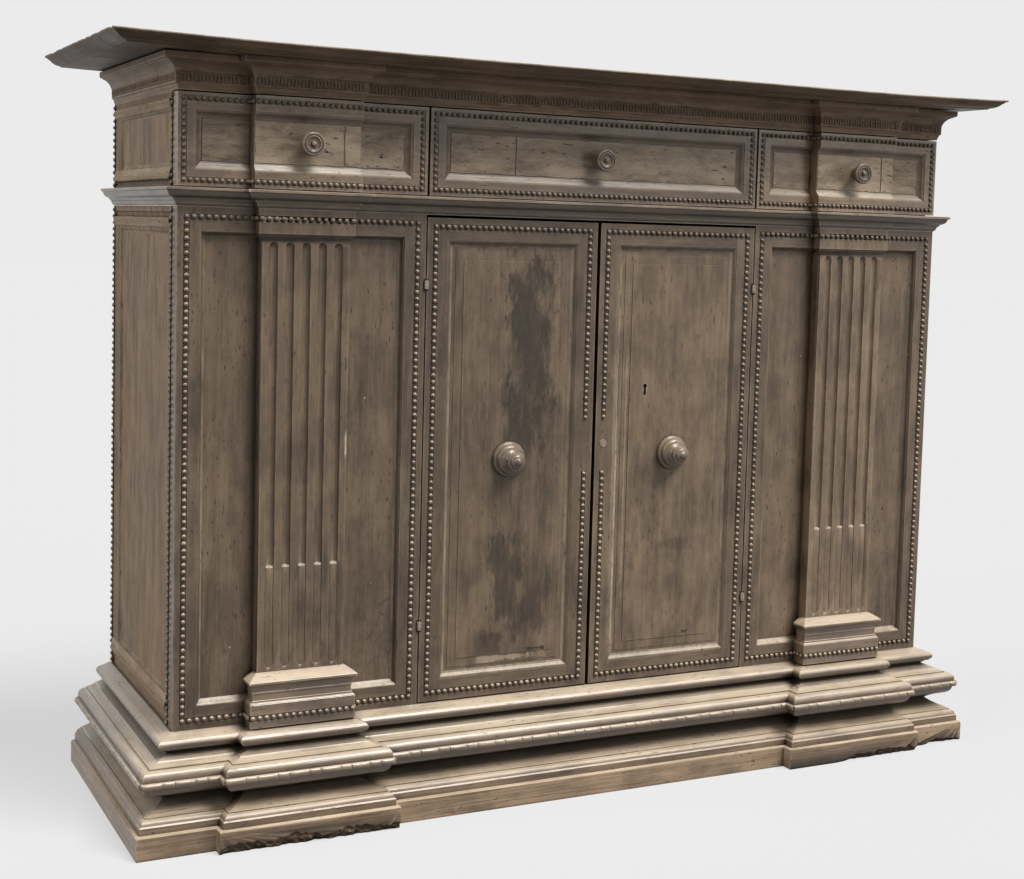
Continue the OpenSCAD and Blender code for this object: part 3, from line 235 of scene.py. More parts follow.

    # Arrises rubbed pale, a little dust and painted light on what faces up, and painted shade on what faces
    # down
    arris = add(tree, "AmbientOcclusion", {"Distance": 4 * MM}, samples=4, inside=True).outputs["AO"]
    rubbed = add(tree, "MapRange", {0: arris, 1: 0.85, 2: 0.35, 3: 0, 4: wear})
    worn = add(tree, "MapRange", {0: mottle, 1: 0.35, 2: 0.6, 3: 0.15, 4: 1})
    rubbed = add(tree, "Math", {0: rubbed, 1: worn}, operation="MULTIPLY")
    rubbed = add(tree, "Math", {0: rubbed, 1: chip}, operation="MAXIMUM")
    up = add(tree, "SeparateXYZ", {0: add(tree, "NewGeometry").outputs["Normal"]}).outputs[2]
    # Painted light: what faces up is made paler, with its dust, as if lit from above
    settled_dust_and_top_light = add(tree, "MapRange", {0: up, 1: 0.15, 2: 0.9, 3: 0, 4: dust_and_top_light})
    held = add(tree, "MapRange", {0: shade, 1: 0.2, 2: 0.7, 3: 0.6, 4: 1})
    settled_dust_and_top_light = add(tree, "Math", {0: settled_dust_and_top_light, 1: held}, operation="MULTIPLY")
    pale = add(tree, "Math", {0: rubbed, 1: settled_dust_and_top_light}, operation="MAXIMUM")
    body = add(tree, "Mix", {0: pale, 6: body, 7: linear(light)}, data_type="RGBA")
    for patch in stains_and_shade:
        body = patched(tree, place, short, body, *patch)
    # Painted shade: what faces down is mixed towards the darkest colour
    under = add(tree, "MapRange", {0: up, 1: -0.2, 2: -0.8, 3: 0, 4: below})
    spots = add(tree, "Math", {0: spots, 1: under}, operation="MAXIMUM")
    body = add(tree, "Mix", {0: spots, 6: body, 7: linear(dirt_and_shade)}, data_type="RGBA")

    # Dirt and painted shade in the hollows: darker wherever ambient occlusion finds a hollow
    hollow = add(tree, "AmbientOcclusion", {"Distance": depth * MM}, samples=6).outputs["AO"]
    grime_and_shade = add(tree, "MapRange", {0: hollow, 1: 0.82, 2: 0.36, 3: 0, 4: 0.9})
    body = add(tree, "Mix", {0: grime_and_shade, 6: body, 7: linear(dirt_and_shade)}, data_type="RGBA")

    # Relief of fibres, pits and small dents, under a coat of wax
    relief = add(tree, "Math", {0: streak_step, 1: 0.8, 2: mottle}, operation="MULTIPLY_ADD")
    relief = add(tree, "Math", {0: relief, 1: spots}, operation="SUBTRACT")
    bump = add(tree, "Bump", {"Strength": 0.45, "Distance": 0.8 * MM, "Height": relief})
    rough = add(tree, "MapRange", {0: cloud, 1: 0.35, 2: 0.65, 3: gloss[0], 4: gloss[1]})
    shader = add(tree, "BsdfPrincipled", {"Base Color": body, "Roughness": rough, "Normal": bump,
                                          "IOR": 1.5, "Specular IOR Level": shine, "Coat Weight": wax,
                                          "Coat Roughness": 0.3, "Coat Normal": bump})
    add(tree, "OutputMaterial", {"Surface": shader})
    return material


def patch_distance(tree, place, middle, half):
    """How far a point lies from the middle of a patch, with one at its edges."""
    off = add(tree, "VectorMath", {0: place, 1: middle}, operation="SUBTRACT")
    scaled = add(tree, "VectorMath", {0: off, 1: tuple(1 / h for h in half)}, operation="MULTIPLY")
    sides = add(tree, "SeparateXYZ", {0: add(tree, "VectorMath", {0: scaled}, operation="ABSOLUTE")})
    far = add(tree, "Math", {0: sides.outputs[0], 1: sides.outputs[1]}, operation="MAXIMUM")
    return add(tree, "Math", {0: far, 1: sides.outputs[2]}, operation="MAXIMUM")


def patched(tree, place, grained, under, middle, half, colour, strength, scale=60):
    """Lays one ragged mark over a colour: a patch round a place, cloudy and drawn out by the grain.

    Its clouds are about 45 mm across and its ragged edge 17 mm, or finer with a higher scale.
    """
    far = patch_distance(tree, place, middle, half)
    ragged = add(tree, "TexNoise", {"Vector": grained, "Scale": scale, "Detail": 8, "Roughness": 0.8})
    blots = add(tree, "TexNoise", {"Vector": place, "Scale": 22, "Detail": 3})
    edge = add(tree, "Math", {0: ragged, 1: 3.2, 2: far}, operation="MULTIPLY_ADD")
    edge = add(tree, "Math", {0: blots, 1: 1.8, 2: edge}, operation="MULTIPLY_ADD")
    mask = add(tree, "MapRange", {0: edge, 1: 3.6, 2: 3.05, 3: 0, 4: strength})
    fade = add(tree, "MapRange", {0: ragged, 1: 0.42, 2: 0.62, 3: 1, 4: 0.6})
    mask = add(tree, "Math", {0: mask, 1: fade}, operation="MULTIPLY")
    return add(tree, "Mix", {0: mask, 6: under, 7: linear(colour)}, data_type="RGBA")


def forged_iron(name, plain, rusted, rubbed):
    """Forged iron with spots of old rust 3 mm across, rubbed bright where a hand or a pin moves it, and
    painted paler along every arris as a highlight.
    """
    material, tree = new_material(name)
    place = add(tree, "TexCoord").outputs["Object"]
    rust = add(tree, "TexNoise", {"Vector": place, "Scale": 300, "Detail": 5})
    step = add(tree, "MapRange", {0: rust, 1: 0.4, 2: 0.65})
    colour = add(tree, "Mix", {0: step, 6: linear(plain), 7: linear(rusted)}, data_type="RGBA")
    # Painted highlight, as well as rubbed metal: the arrises are made paler
    arris = add(tree, "AmbientOcclusion", {"Distance": 2 * MM}, samples=6, inside=True).outputs["AO"]
    rubbed_and_highlight = add(tree, "MapRange", {0: arris, 1: 0.8, 2: 0.4, 3: 0, 4: 0.7})
    colour = add(tree, "Mix", {0: rubbed_and_highlight, 6: colour, 7: linear(rubbed)}, data_type="RGBA")
    rough = add(tree, "MapRange", {0: step, 3: 0.4, 4: 0.75})
    bump = add(tree, "Bump", {"Strength": 0.6, "Distance": 0.3 * MM, "Height": rust})
    shader = add(tree, "BsdfPrincipled", {"Base Color": colour, "Metallic": 0.8, "Roughness": rough,
                                          "Normal": bump})
    add(tree, "OutputMaterial", {"Surface": shader})
    return material


def finish_node(name, material):
    """Gives a node of the frame its finish."""
    mesh = nodes[name].data
    mesh.materials.clear()
    mesh.materials.append(material)


def frame_rails(name, axis, width):
    """Where the rails of a framed node lie, for its grain."""
    low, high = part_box(name)
    pick = (lambda p: Vector((p.x, p.z))) if axis == "x" else (lambda p: Vector((p.y, p.z)))
    return axis, pick(low), pick(high), width


# Poplar that was never waxed
BARE = {"dark": "#7d6650", "middle": "#a58c6e", "light": "#beaa8c", "gloss": (0.7, 0.85), "wax": 0,
        "dust_and_top_light": 0.2}
# Mouldings, waxed most, with dust and painted light on their tops, and dirt and painted shade deep in their
# hollows
MOULDED = {"dust_and_top_light": 0.72, "wear": 0.5, "wax": 0.5, "shine": 0.5, "gloss": (0.3, 0.42), "pits": 0.25,
           "depth": 26, "lines": 0.45}
# Surfaces that were hardly ever waxed, such as the sides
DULL = {"wax": 0, "shine": 0.12, "gloss": (0.5, 0.65)}
# Tone of each drawer front; the right one is painted lighter for the light that falls from the right
DRAWER_TONES = {"left": 1.25, "middle": 0.94, "right": 1.56}


def dress_mouldings():
    """Finishes of the mouldings that run round the body, and of the top board."""
    own_looks = {
        "plinth": {"tone": 1.75, "depth": 6, "wax": 0.1, "shine": 0.3, "seed": 13},
        "plinth_cap": {"tone": 1.1, "wear": 0.2, "wax": 0.15, "shine": 0.35, "dust_and_top_light": 0.6},
        "base_torus": {"tone": 0.95},
        "base_nosing": {"tone": 0.9},
        "string_course": {"tone": 0.84, "wear": 0.9, "wax": 0.2},
        "cornice": {"tone": 1.6, "wax": 0, "shine": 0.25, "gloss": (0.45, 0.6), "depth": 6, "below": 0.38,
                    "stains_and_shade": CORNICE_MARKS},
        "top_board": {"tone": 1.25, "wax": 0, "shine": 0.2, "gloss": (0.45, 0.6), "wear": 0.8, "dust_and_top_light": 0.1,
                      "below": 0.36, "cracked": TOP_CRACKS, "stains_and_shade": TOP_MARKS},
    }
    for name, looks in own_looks.items():
        rails = None if name == "top_board" else "mitre"
        looks = {"seed": len(name), **MOULDED, **looks}
        finish_node(name, wood("walnut_" + name, "x", rails, **looks))


def dress_half(side):
    """Finishes of the side, bay, pier and door at one end. The left ones are a little darker and the right
    ones lighter, as painted shade and painted light.
    """
    seed = 3 if side == "left" else 8
    # Painted light: the fronts at the right are lighter and those at the left darker, for light that falls
    # from the right, the shafts most
    tone = 0.95 if side == "left" else 1.15
    shaft_tone = tone * (0.92 if side == "left" else 1.15)

    def finish(part, grain, rails=None, **looks):
        label = f"{side}_{part}"
        finish_node(label, wood("walnut_" + label, grain, rails, **looks))

    finish("side_frame", "z", frame_rails(side + "_side_frame", "y", SIDE_RAIL_WIDTH), seed=seed, depth=12,
           wear=0.4, tone=1.5, **DULL)
    finish("side_panels", "z", seed=seed + 1, pits=0.1, depth=16, wear=0.4, tone=1.8, **DULL)
    for part, chips in (("bay_frame", ()), ("door_frame", RIGHT_STILE_CHIPS if side == "right" else ())):
        finish(part, "z", frame_rails(f"{side}_{part}", "x", FRAME_WIDTH), seed=seed + 2, tone=tone * 0.82,
               wax=0.3, dust_and_top_light=0.75, depth=13, wear=0.35, stains_and_shade=chips)
    finish("bay_panel", "z", seed=seed + 3, tone=tone * 0.92, pits=0.7, depth=16,
           cracked=BAY_CRACKS if side == "left" else None)
    finish("pilaster", "z", seed=seed + 4, tone=shaft_tone, pits=0.2, wax=0.3, dust_and_top_light=0.35, wear=0.35,
           stains_and_shade=SHAFT_CHIPS)
    finish("pilaster_base", "x", seed=seed + 5, **MOULDED)
    finish("door_panel", "z", seed=seed + 6, tone=tone, pits=0.2, stains_and_shade=DOOR_STAINS[side])
    finish_node(side + "_door_knob", turned)
    finish_node(side + "_door_hinges", iron)
    for part in ("door_beading", "bay_beading", "side_beading"):
        finish_node(f"{side}_{part}", carved)


def dress_drawers():
    """Finishes of the drawers: dusty, well rubbed fronts with painted light on what faces up, and bare boxes.
    """
    for number, place in enumerate(PIERS):
        label = place + "_drawer_"
        finish_node(label + "front",
                    wood(f"walnut_{label}front", "x", seed=20 + number, tone=DRAWER_TONES[place],
                         light="#ddcfb9", dust_and_top_light=0.95, wax=0.4, shine=0.4, depth=5, wear=0.45))
        finish_node(label + "knob", turned)
        finish_node(label + "beading", carved)
        finish_node(label + "box", wood(f"poplar_{label}box", "y", seed=30 + number, **BARE))
        finish_node(label + "bottom", wood(f"poplar_{label}bottom", "x", seed=40 + number, **BARE))


def dress_inside():
    """Finishes of the boards inside and behind, and of the ironwork."""
    for number, name in enumerate(("bottom_board", "drawer_deck", "shelf", "shelf_bearers")):
        finish_node(name, wood("poplar_" + name, "x", seed=50 + number, **BARE))
    finish_node("back_boards", wood("poplar_back_boards", "z", seed=60, **BARE))
    finish_node("drawer_dividers", wood("poplar_drawer_dividers", "y", seed=61, **BARE))
    finish_node("jamb_hinges", iron)
    for name in ("door_lock", "lock_bolt", "lock_keeper", "bolt_staples", "door_bolt"):
        finish_node(name, lock_iron)


def smooth(mesh, degrees):
    """Shades the curved faces of a mesh smooth, and keeps the arrises that turn by more than an angle."""
    mesh.shade_smooth()
    mesh.set_sharp_from_angle(angle=math.radians(degrees))


def new_piece(name, bm, material, body, replaced=()):
    """Turns a bmesh into a piece of the scene that rides on a body."""
    mesh = bpy.data.meshes.new(name)
    bm.normal_update()
    bm.to_mesh(mesh)
    bm.free()
    mesh.materials.append(material)
    smooth(mesh, 35)
    obj = bpy.data.objects.new(name, mesh)
    bpy.context.scene.collection.objects.link(obj)
    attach(obj, body)
    if replaced:
        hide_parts(*replaced)
    return obj


def skin(bm, rings, closed):
    """Faces between rings of points, and over both end rings. Rings that aren't closed lie open behind."""
    count = len(rings[0])
    for a, b in zip(rings, rings[1:]):
        for k in range(count if closed else count - 1):
            m = (k + 1) % count
            bm.faces.new((a[k], b[k], b[m], a[m]))
    bm.faces.new(rings[0])
    bm.faces.new(tuple(reversed(rings[-1])))


class BeadRows:
    """Collects carved beads into one mesh.

    Each stands on a flat face, is a little more than half a ball, and differs a little from the next.
    """

    def __init__(self, name):
        self.name = name
        self.bm = bmesh.new()
        self.draw = random.Random(name)

    def bead(self, place, outward, size):
        """One bead with ten sides, built of loops from its foot to its flat tip."""
        sides = 10
        radius = size / 2 * self.draw.uniform(0.94, 1.04)
        lift = 0.24 * size
        turn = outward.to_track_quat("Z", "Y").to_matrix().to_4x4()
        worn = Matrix.Diagonal((self.draw.uniform(0.96, 1.03), self.draw.uniform(0.96, 1.03),
                                self.draw.uniform(0.86, 1.0), 1))
        shape = turn @ Matrix.Translation((0, 0, lift)) @ worn
        loops = []
        for angle in (-0.42, 0.05, 0.5, 0.95, 1.3):
            loop = []
            for side in range(sides):
                around = 2 * math.pi * side / sides
                point = Vector((radius * math.cos(angle) * math.cos(around),
                                radius * math.cos(angle) * math.sin(around), radius * math.sin(angle)))
                loop.append(self.bm.verts.new(place + shape @ point))
            loops.append(loop)
        skin(self.bm, loops[::-1], closed=True)

    def row(self, start, end, outward=AHEAD, size=BEAD_SIZE, pitch=BEAD_PITCH):
        """Beads at even steps from start to end."""
        count = max(1, round((end - start).length / pitch))
        for i in range(count + 1):
            self.bead(start.lerp(end, i / count), outward, size)

    def finish(self, body, *replaced):
        """Makes the beads one piece that rides on a body and replaces the plain rows there."""
        return new_piece(self.name, self.bm, carved, body, replaced)


def bay_beads(side):
    """Beads round a bay, along the faces of its base block and cap block, and on their ends."""
    rows = BeadRows(side + "_bay_beads")
    low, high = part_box(side + "_bay_frame")
    centre = MIDDLE + PIERS[side]
    left, right = low.x + BEAD_INSET, high.x - BEAD_INSET
    bottom, top = low.z + BEAD_INSET, high.z - BEAD_INSET
    floor = FRONT + CHANNEL_DEPTH

    def line(x0, z0, x1, z1, y=floor):
        rows.row(Vector((x0, y, z0)), Vector((x1, y, z1)))

    line(left, bottom, left, top)
    line(right, bottom, right, top)
    for half, z in ((BLOCK_HALF + 5 * MM, bottom), (CAP_HALF + 5 * MM, top)):
        line(left + BEAD_PITCH, z, centre - half, z)
        line(centre + half, z, right - BEAD_PITCH, z)
    blocks = ((BLOCK_HALF, low.z + BLOCK_BEAD_UP, FRONT - BLOCK_OUT + CHANNEL_DEPTH),
              (CAP_HALF, top, FRONT - CAP_OUT + CHANNEL_DEPTH))
    for half, z, face in blocks:
        line(centre - half + 4 * MM, z, centre + half - 4 * MM, z, face)
    for way in (-1, 1):
        for half, z, face in blocks:
            x = centre + way * (half - CHANNEL_DEPTH)
            rows.row(Vector((x, face + 6 * MM, z)), Vector((x, floor - 7 * MM, z)), Vector((way, 0, 0)))
    rows.finish("carcass", side + "_bay_beading")


def door_beads(side):
    """Beads round a door. A patch is missing beside the meeting edges, at the height of the knobs."""
    rows = BeadRows(side + "_door_beads")
    low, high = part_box(side + "_door_frame")
    left, right = low.x + BEAD_INSET, high.x - BEAD_INSET
    bottom, top = low.z + BEAD_INSET, high.z - BEAD_INSET
    meeting = right if side == "left" else left
    outer = left if side == "left" else right
    patch_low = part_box(side + "_door_knob")[0].z - 0.5 * MM
    floor = FRONT + CHANNEL_DEPTH
    for x0, z0, x1, z1 in ((meeting, bottom, meeting, patch_low), (meeting, BEADS_MISSING_TO, meeting, top),
                           (outer, bottom, outer, top),
                           (left + BEAD_PITCH, bottom, right - BEAD_PITCH, bottom),
                           (left + BEAD_PITCH, top, right - BEAD_PITCH, top)):
        rows.row(Vector((x0, floor, z0)), Vector((x1, floor, z1)))
    rows.finish(side + "_door", side + "_door_beading")


def drawer_beads(place):
    """Beads round a drawer front. Those of the outer drawers follow the break at the pier."""
    rows = BeadRows(place + "_drawer_beads")
    low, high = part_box(place + "_drawer_front")
    left, right = low.x + DRAWER_BEAD_INSET, high.x - DRAWER_BEAD_INSET
    bottom, top = low.z + DRAWER_BEAD_INSET, high.z - DRAWER_BEAD_INSET
    centre = MIDDLE + PIERS[place]
    floor = FRONT + CHANNEL_DEPTH
    ahead = low.y + CHANNEL_DEPTH
    step = DRAWER_BEAD_PITCH
    for x in (left, right):
        rows.row(Vector((x, floor, bottom)), Vector((x, floor, top)), AHEAD, DRAWER_BEAD_SIZE, step)
    for z in (bottom, top):
        spans = [(left + step, right - step, floor)]
        if place != "middle":
            spans = [(left + step, centre - BLOCK_HALF - 4.5 * MM, floor),
                     (centre + BLOCK_HALF + 4.5 * MM, right - step, floor),
                     (centre - BLOCK_HALF + 4 * MM, centre + BLOCK_HALF - 4 * MM, ahead)]
            for way in (-1, 1):
                x = centre + way * BLOCK_HALF
                rows.row(Vector((x, ahead + 5 * MM, z)), Vector((x, floor - 6 * MM, z)), Vector((way, 0, 0)),
                         DRAWER_BEAD_SIZE, step)
        for x0, x1, y in spans:
            rows.row(Vector((x0, y, z)), Vector((x1, y, z)), AHEAD, DRAWER_BEAD_SIZE, step)
    rows.finish(place + "_drawer", place + "_drawer_beading")


def side_beads(side, sign):
    """Beads up the corners of a side, under and over the string course."""
    rows = BeadRows(side + "_side_beads")
    low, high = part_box(side + "_side_frame")
    string_low, string_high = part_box("string_course")
    face = MIDDLE + sign * (HALF_WIDTH - CHANNEL_DEPTH)
    inset = SIDE_BEAD_INSET
    for y in (low.y + inset, high.y - BACK_BEAD_INSET):
        for z0, z1 in ((low.z + inset, string_low.z - inset), (string_high.z + inset, high.z - inset)):
            rows.row(Vector((face, y, z0)), Vector((face, y, z1)), Vector((sign, 0, 0)))
    rows.finish("carcass", side + "_side_beading")


def side_mouldings(side, sign):
    """Raised mouldings along the rails of a side, sloped towards the panels and worn along their length."""
    low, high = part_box(side + "_side_frame")
    string_low, string_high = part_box("string_course")
    face = MIDDLE + sign * HALF_WIDTH
    # Profiles of a strip under a panel and of one over it: share of its height, and how far out in mm
    under = [(1.0, -0.5), (0.97, 0.8), (0.45, 3.2), (0.30, 4.0), (0.08, 4.2), (0.0, 3.4), (0.0, -0.5)]
    over = [(1.0, -0.5), (1.0, 3.2), (0.92, 4.2), (0.62, 4.0), (0.5, 3.2), (0.2, 2.4), (0.04, 1.0),
            (0.0, -0.5)]
    strips = [(low.z + 24 * MM, low.z + 46 * MM, under),
              (string_low.z - 32 * MM, string_low.z - 17 * MM, over),
              (string_high.z + 12 * MM, string_high.z + 30 * MM, under),
              (high.z - 25 * MM, high.z - 11 * MM, over)]
    start, end = low.y + 12 * MM, high.y - 14 * MM
    steps = 40
    bm = bmesh.new()
    for z0, z1, profile in strips:
        rings = []
        for i in range(steps + 1):
            y = start + (end - start) * i / steps
            ring = []
            for share, out in profile:
                dent = 0.6 * noise.noise(Vector((share * 3, y * 30, z0 * 50)))
                z = z0 + (z1 - z0) * share
                ring.append(bm.verts.new((face + sign * (out + dent) * MM, y, z + 0.6 * dent * MM)))
            rings.append(ring)
        skin(bm, rings, closed=False)
    bmesh.ops.recalc_face_normals(bm, faces=bm.faces)
    material = wood(f"walnut_{side}_side_mouldings", "y", seed=12, tone=1.9, dust_and_top_light=0.6, lines=0.3, depth=10,
                    **DULL)
    new_piece(side + "_side_mouldings", bm, material, "carcass")


def broken_line(outer, break_half):
    """Plan of a moulding's edge from the back left, round the front and both piers, to the back right."""
    x = HALF_WIDTH + outer
    y = -outer
    points = [(-x, BACK - FRONT), (-x, y)]
    for centre in (-PIER_X, PIER_X):
        half = break_half + outer
        points += [(centre - half, y), (centre - half, y - BREAK_OUT), (centre + half, y - BREAK_OUT),
                   (centre + half, y)]
    points += [(x, y), (x, BACK - FRONT)]
    return [Vector((MIDDLE + px, FRONT + py, 0)) for px, py in points]


def box_on(bm, place, along, outward, length, height, depth, soft):
    """A small raised block on a face, with its own face drawn in by soft at every edge."""
    up = Vector((0, 0, 1))
    corners = []
    for out, inset in ((-0.4 * MM, 0.0), (depth, soft)):
        for u, v in ((-1, -1), (1, -1), (1, 1), (-1, 1)):
            aside = along * (u * (length / 2 - inset)) + up * (v * (height / 2 - inset))
            corners.append(bm.verts.new(place + aside + outward * out))
    for face in ((3, 2, 1, 0), (4, 5, 6, 7), (0, 1, 5, 4), (1, 2, 6, 5), (2, 3, 7, 6), (3, 0, 4, 7)):
        bm.faces.new([corners[i] for i in face])


def along_edges(points):
    """Start, direction, outward normal and length of each straight run of a plan line."""
    for start, end in zip(points, points[1:]):
        span = end - start
        if span.length > 1 * MM:
            along = span.normalized()
            yield start, along, Vector((along.y, -along.x, 0)), span.length


def fret_band():
    """Low fret carved in the flat band of the cornice: a key of short bars, one every 11 mm.

    It is lower on the sides than in front.
    """
    bm = bmesh.new()
    middle_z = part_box("cornice")[0].z + 18.5 * MM
    for start, along, outward, length in along_edges(broken_line(5.2 * MM, BLOCK_HALF)):
        count = int((length - 3 * MM) // KEY_PITCH)
        if count < 1:
            continue
        deep = (0.6 if abs(outward.x) > 0.5 else 1.6) * MM
        first = (length - (count - 1) * KEY_PITCH) / 2
        for i in range(count):
            place = start + along * (first + i * KEY_PITCH) + Vector((0, 0, middle_z))
            for aside, up, size, height, share in KEY_BARS:
                spot = place + along * (aside * MM) + Vector((0, 0, up * MM))
                box_on(bm, spot, along, outward, size * MM, height * MM, share * deep, 0.3 * MM)
    material = wood("walnut_fret", "x", seed=14, tone=1.45, wear=0.1, depth=2.5, below=0.2, **DULL)
    new_piece("cornice_fret", bm, material, "carcass")


def lip_tabs():
    """Carved lip of the great round moulding: long and short rounded tabs in turn, 52 mm for each pair."""
    bm = bmesh.new()
    draw = random.Random("lip")
    middle_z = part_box("base_torus")[0].z + 31.8 * MM
    # Profile of a tab in mm, up and out, and how full it is at each share of its length
    profile = [(-4.4, -0.3), (-4.2, 1.8), (-2.4, 3.3), (0.2, 3.8), (2.6, 3.0), (4.2, 1.3), (4.6, -0.3)]
    fullness = {0: 0.7, 0.06: 0.9, 0.3: 1.0, 0.7: 0.97, 0.94: 0.85, 1: 0.66}
    for start, along, outward, length in along_edges(broken_line(58 * MM, CAP_HALF)):
        spot = 1.5 * MM
        long_tab = True
        while spot < length - 6 * MM:
            size = (30 if long_tab else 18) * MM
            size = min(size * draw.uniform(0.94, 1.04), length - spot - 1.5 * MM)
            full = 1.0 if long_tab else 0.85
            rings = []
            for share, swell in fullness.items():
                centre = start + along * (spot + size * share) + Vector((0, 0, middle_z))
                out = outward * (full * swell * MM)
                rings.append([bm.verts.new(centre + Vector((0, 0, v * MM)) + out * o) for v, o in profile])
            skin(bm, rings, closed=False)
            spot += size + 0.5 * MM
            long_tab = not long_tab
    bmesh.ops.recalc_face_normals(bm, faces=bm.faces)
    material = wood("walnut_lip", "x", seed=15, **{**MOULDED, "depth": 4, "wear": 0.3})
    new_piece("torus_lip", bm, material, "carcass")


def bent_top():
    """The top board with the gentle wave of age, raised at both ends, and worn along its edge."""
    bm = bmesh.new()
    bm.from_mesh(nodes["top_board"].data)
    low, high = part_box("top_board")
    for axis, parts in ((0, 60), (1, 40)):
        for i in range(1, parts):
            place, normal = Vector(), Vector()
            place[axis] = low[axis] + (high[axis] - low[axis]) * i / parts
            normal[axis] = 1
            bmesh.ops.bisect_plane(bm, geom=bm.verts[:] + bm.edges[:] + bm.faces[:], plane_co=place,
                                   plane_no=normal)
    half = (high.x - low.x) / 2
    flat = 0.62
    for vert in bm.verts:
        share = abs(vert.co.x - (low.x + high.x) / 2) / half
        lift = 4.5 * MM * max(0, (share - flat) / (1 - flat)) ** 2
        wave = 0.7 * MM * noise.noise(vert.co * 4)
        chip = max(0, noise.noise(vert.co * 38) - 0.25) if vert.co.z > low.z + 9 * MM else 0
        inward = Vector((0, 0, 0))
        if vert.co.y < FRONT - 60 * MM:
            inward.y = chip * 5 * MM
        if abs(vert.co.x - MIDDLE) > HALF_WIDTH + 50 * MM:
            inward.x = -chip * 7 * MM * (1 if vert.co.x > MIDDLE else -1)
            inward.z = -chip * 4 * MM
        vert.co += Vector((0, 0, lift + wave)) + inward
    new_piece("bent_top_board", bm, nodes["top_board"].data.materials[0], "carcass", replaced=("top_board",))


def damp_cuts():
    """What damp and worm have taken out of the bottom of the plinth, at both breaks and one corner."""
    cuts = bmesh.new()
    # Start and end along the front, height, and place of the plinth's face before the front of the body
    for number, (x0, x1, tall, ahead) in enumerate((
            (-PIER_X - 175 * MM, -PIER_X + 185 * MM, 19 * MM, 88 * MM),
            (PIER_X - 40 * MM, PIER_X + 175 * MM, 15 * MM, 88 * MM),
            (HALF_WIDTH - 20 * MM, HALF_WIDTH + 70 * MM, 9 * MM, 66 * MM)), start=1):
        steps = int((x1 - x0) / (2.2 * MM))
        rings = []
        for i in range(steps + 1):
            x = x0 + (x1 - x0) * i / steps
            ends = min(1, min(i, steps - i) / steps * 6)
            spot = Vector((x, 0, number)) * 22
            rough = 0.75 + 0.5 * noise.noise(spot) + 0.35 * noise.noise(spot * 4)
            up = tall * ends * max(0.15, rough)
            hollow = max(0.2, 0.8 + 0.5 * noise.noise(spot * 2 + Vector((9, 0, 0))))
            deep = 9 * MM * ends * hollow + 0.3 * MM
            ring = [(-20 * MM, -12 * MM), (-20 * MM, up), (0, up)]
            for k in range(1, 8):
                t = k / 8
                ragged = 3.6 * noise.noise(Vector((x * 120, t * 3, number)))
                ragged += 1.6 * noise.noise(Vector((x * 380, t * 9, number)))
                ring.append((deep * t ** 0.6 + ragged * ends * MM, up * (1 - t) + 0.6 * ragged * ends * MM))
            ring.append((deep, -12 * MM))
            rings.append([cuts.verts.new(Vector((MIDDLE + x, FRONT - ahead + o, z))) for o, z in ring])
        skin(cuts, rings, closed=True)
    bmesh.ops.recalc_face_normals(cuts, faces=cuts.faces)
    mesh = bpy.data.meshes.new("damp_cuts")
    mesh.materials.append(rotten)
    cuts.to_mesh(mesh)
    cuts.free()
    return bpy.data.objects.new("damp_cuts", mesh)


def chipped_plinth():
    """The plinth with the bottom of both breaks and of the right corner split away."""
    cutter = damp_cuts()
    bpy.context.scene.collection.objects.link(cutter)
    plinth = nodes["plinth"].data
    whole = bmesh.new()
    whole.from_mesh(plinth)
    piece = new_piece("chipped_plinth", whole, plinth.materials[0], "carcass", replaced=("plinth",))
    cut = piece.modifiers.new("cut", "BOOLEAN")
    cut.object = cutter
    cut.solver = "EXACT"
    cut.material_mode = "TRANSFER"
    bpy.context.view_layer.update()
    result = bpy.data.meshes.new_from_object(piece.evaluated_get(bpy.context.evaluated_depsgraph_get()))
    smooth(result, 35)
    piece.modifiers.clear()
    piece.data = result
    bpy.data.objects.remove(cutter)


def ragged_field(bm, x0, x1, z0, z1, y, seed):
    """A board 1.1 mm thick in a sunk field, whose edges have broken away along their length."""
    outline = []
    thick = 1.1 * MM
    step = 6 * MM
    sides = (((x0, z0), (x1, z0)), ((x1, z0), (x1, z1)), ((x1, z1), (x0, z1)), ((x0, z1), (x0, z0)))
    for number, ((ax, az), (bx, bz)) in enumerate(sides):
        span = math.hypot(bx - ax, bz - az)
        count = max(2, int(span / step))
        inward = Vector((-(bz - az), 0, bx - ax)) / span
        for i in range(count):
            share = i / count
            point = Vector((ax + (bx - ax) * share, y, az + (bz - az) * share))
            spot = point * 34 + Vector((seed * 3, number, 0))
            depth = 0.5 * MM + max(0, noise.noise(spot)) * 2.2 * MM
            depth += max(0, noise.noise(spot * 2.7) - 0.2) * 4 * MM
            outline.append(point + inward * min(depth, 3.4 * MM))
    front = [bm.verts.new(p - Vector((0, thick, 0))) for p in outline]
    back = [bm.verts.new(p + Vector((0, 0.2 * MM, 0))) for p in outline]
    bm.faces.new(front)
    for i in range(len(front)):
        after = (i + 1) % len(front)
        bm.faces.new((front[i], back[i], back[after], front[after]))


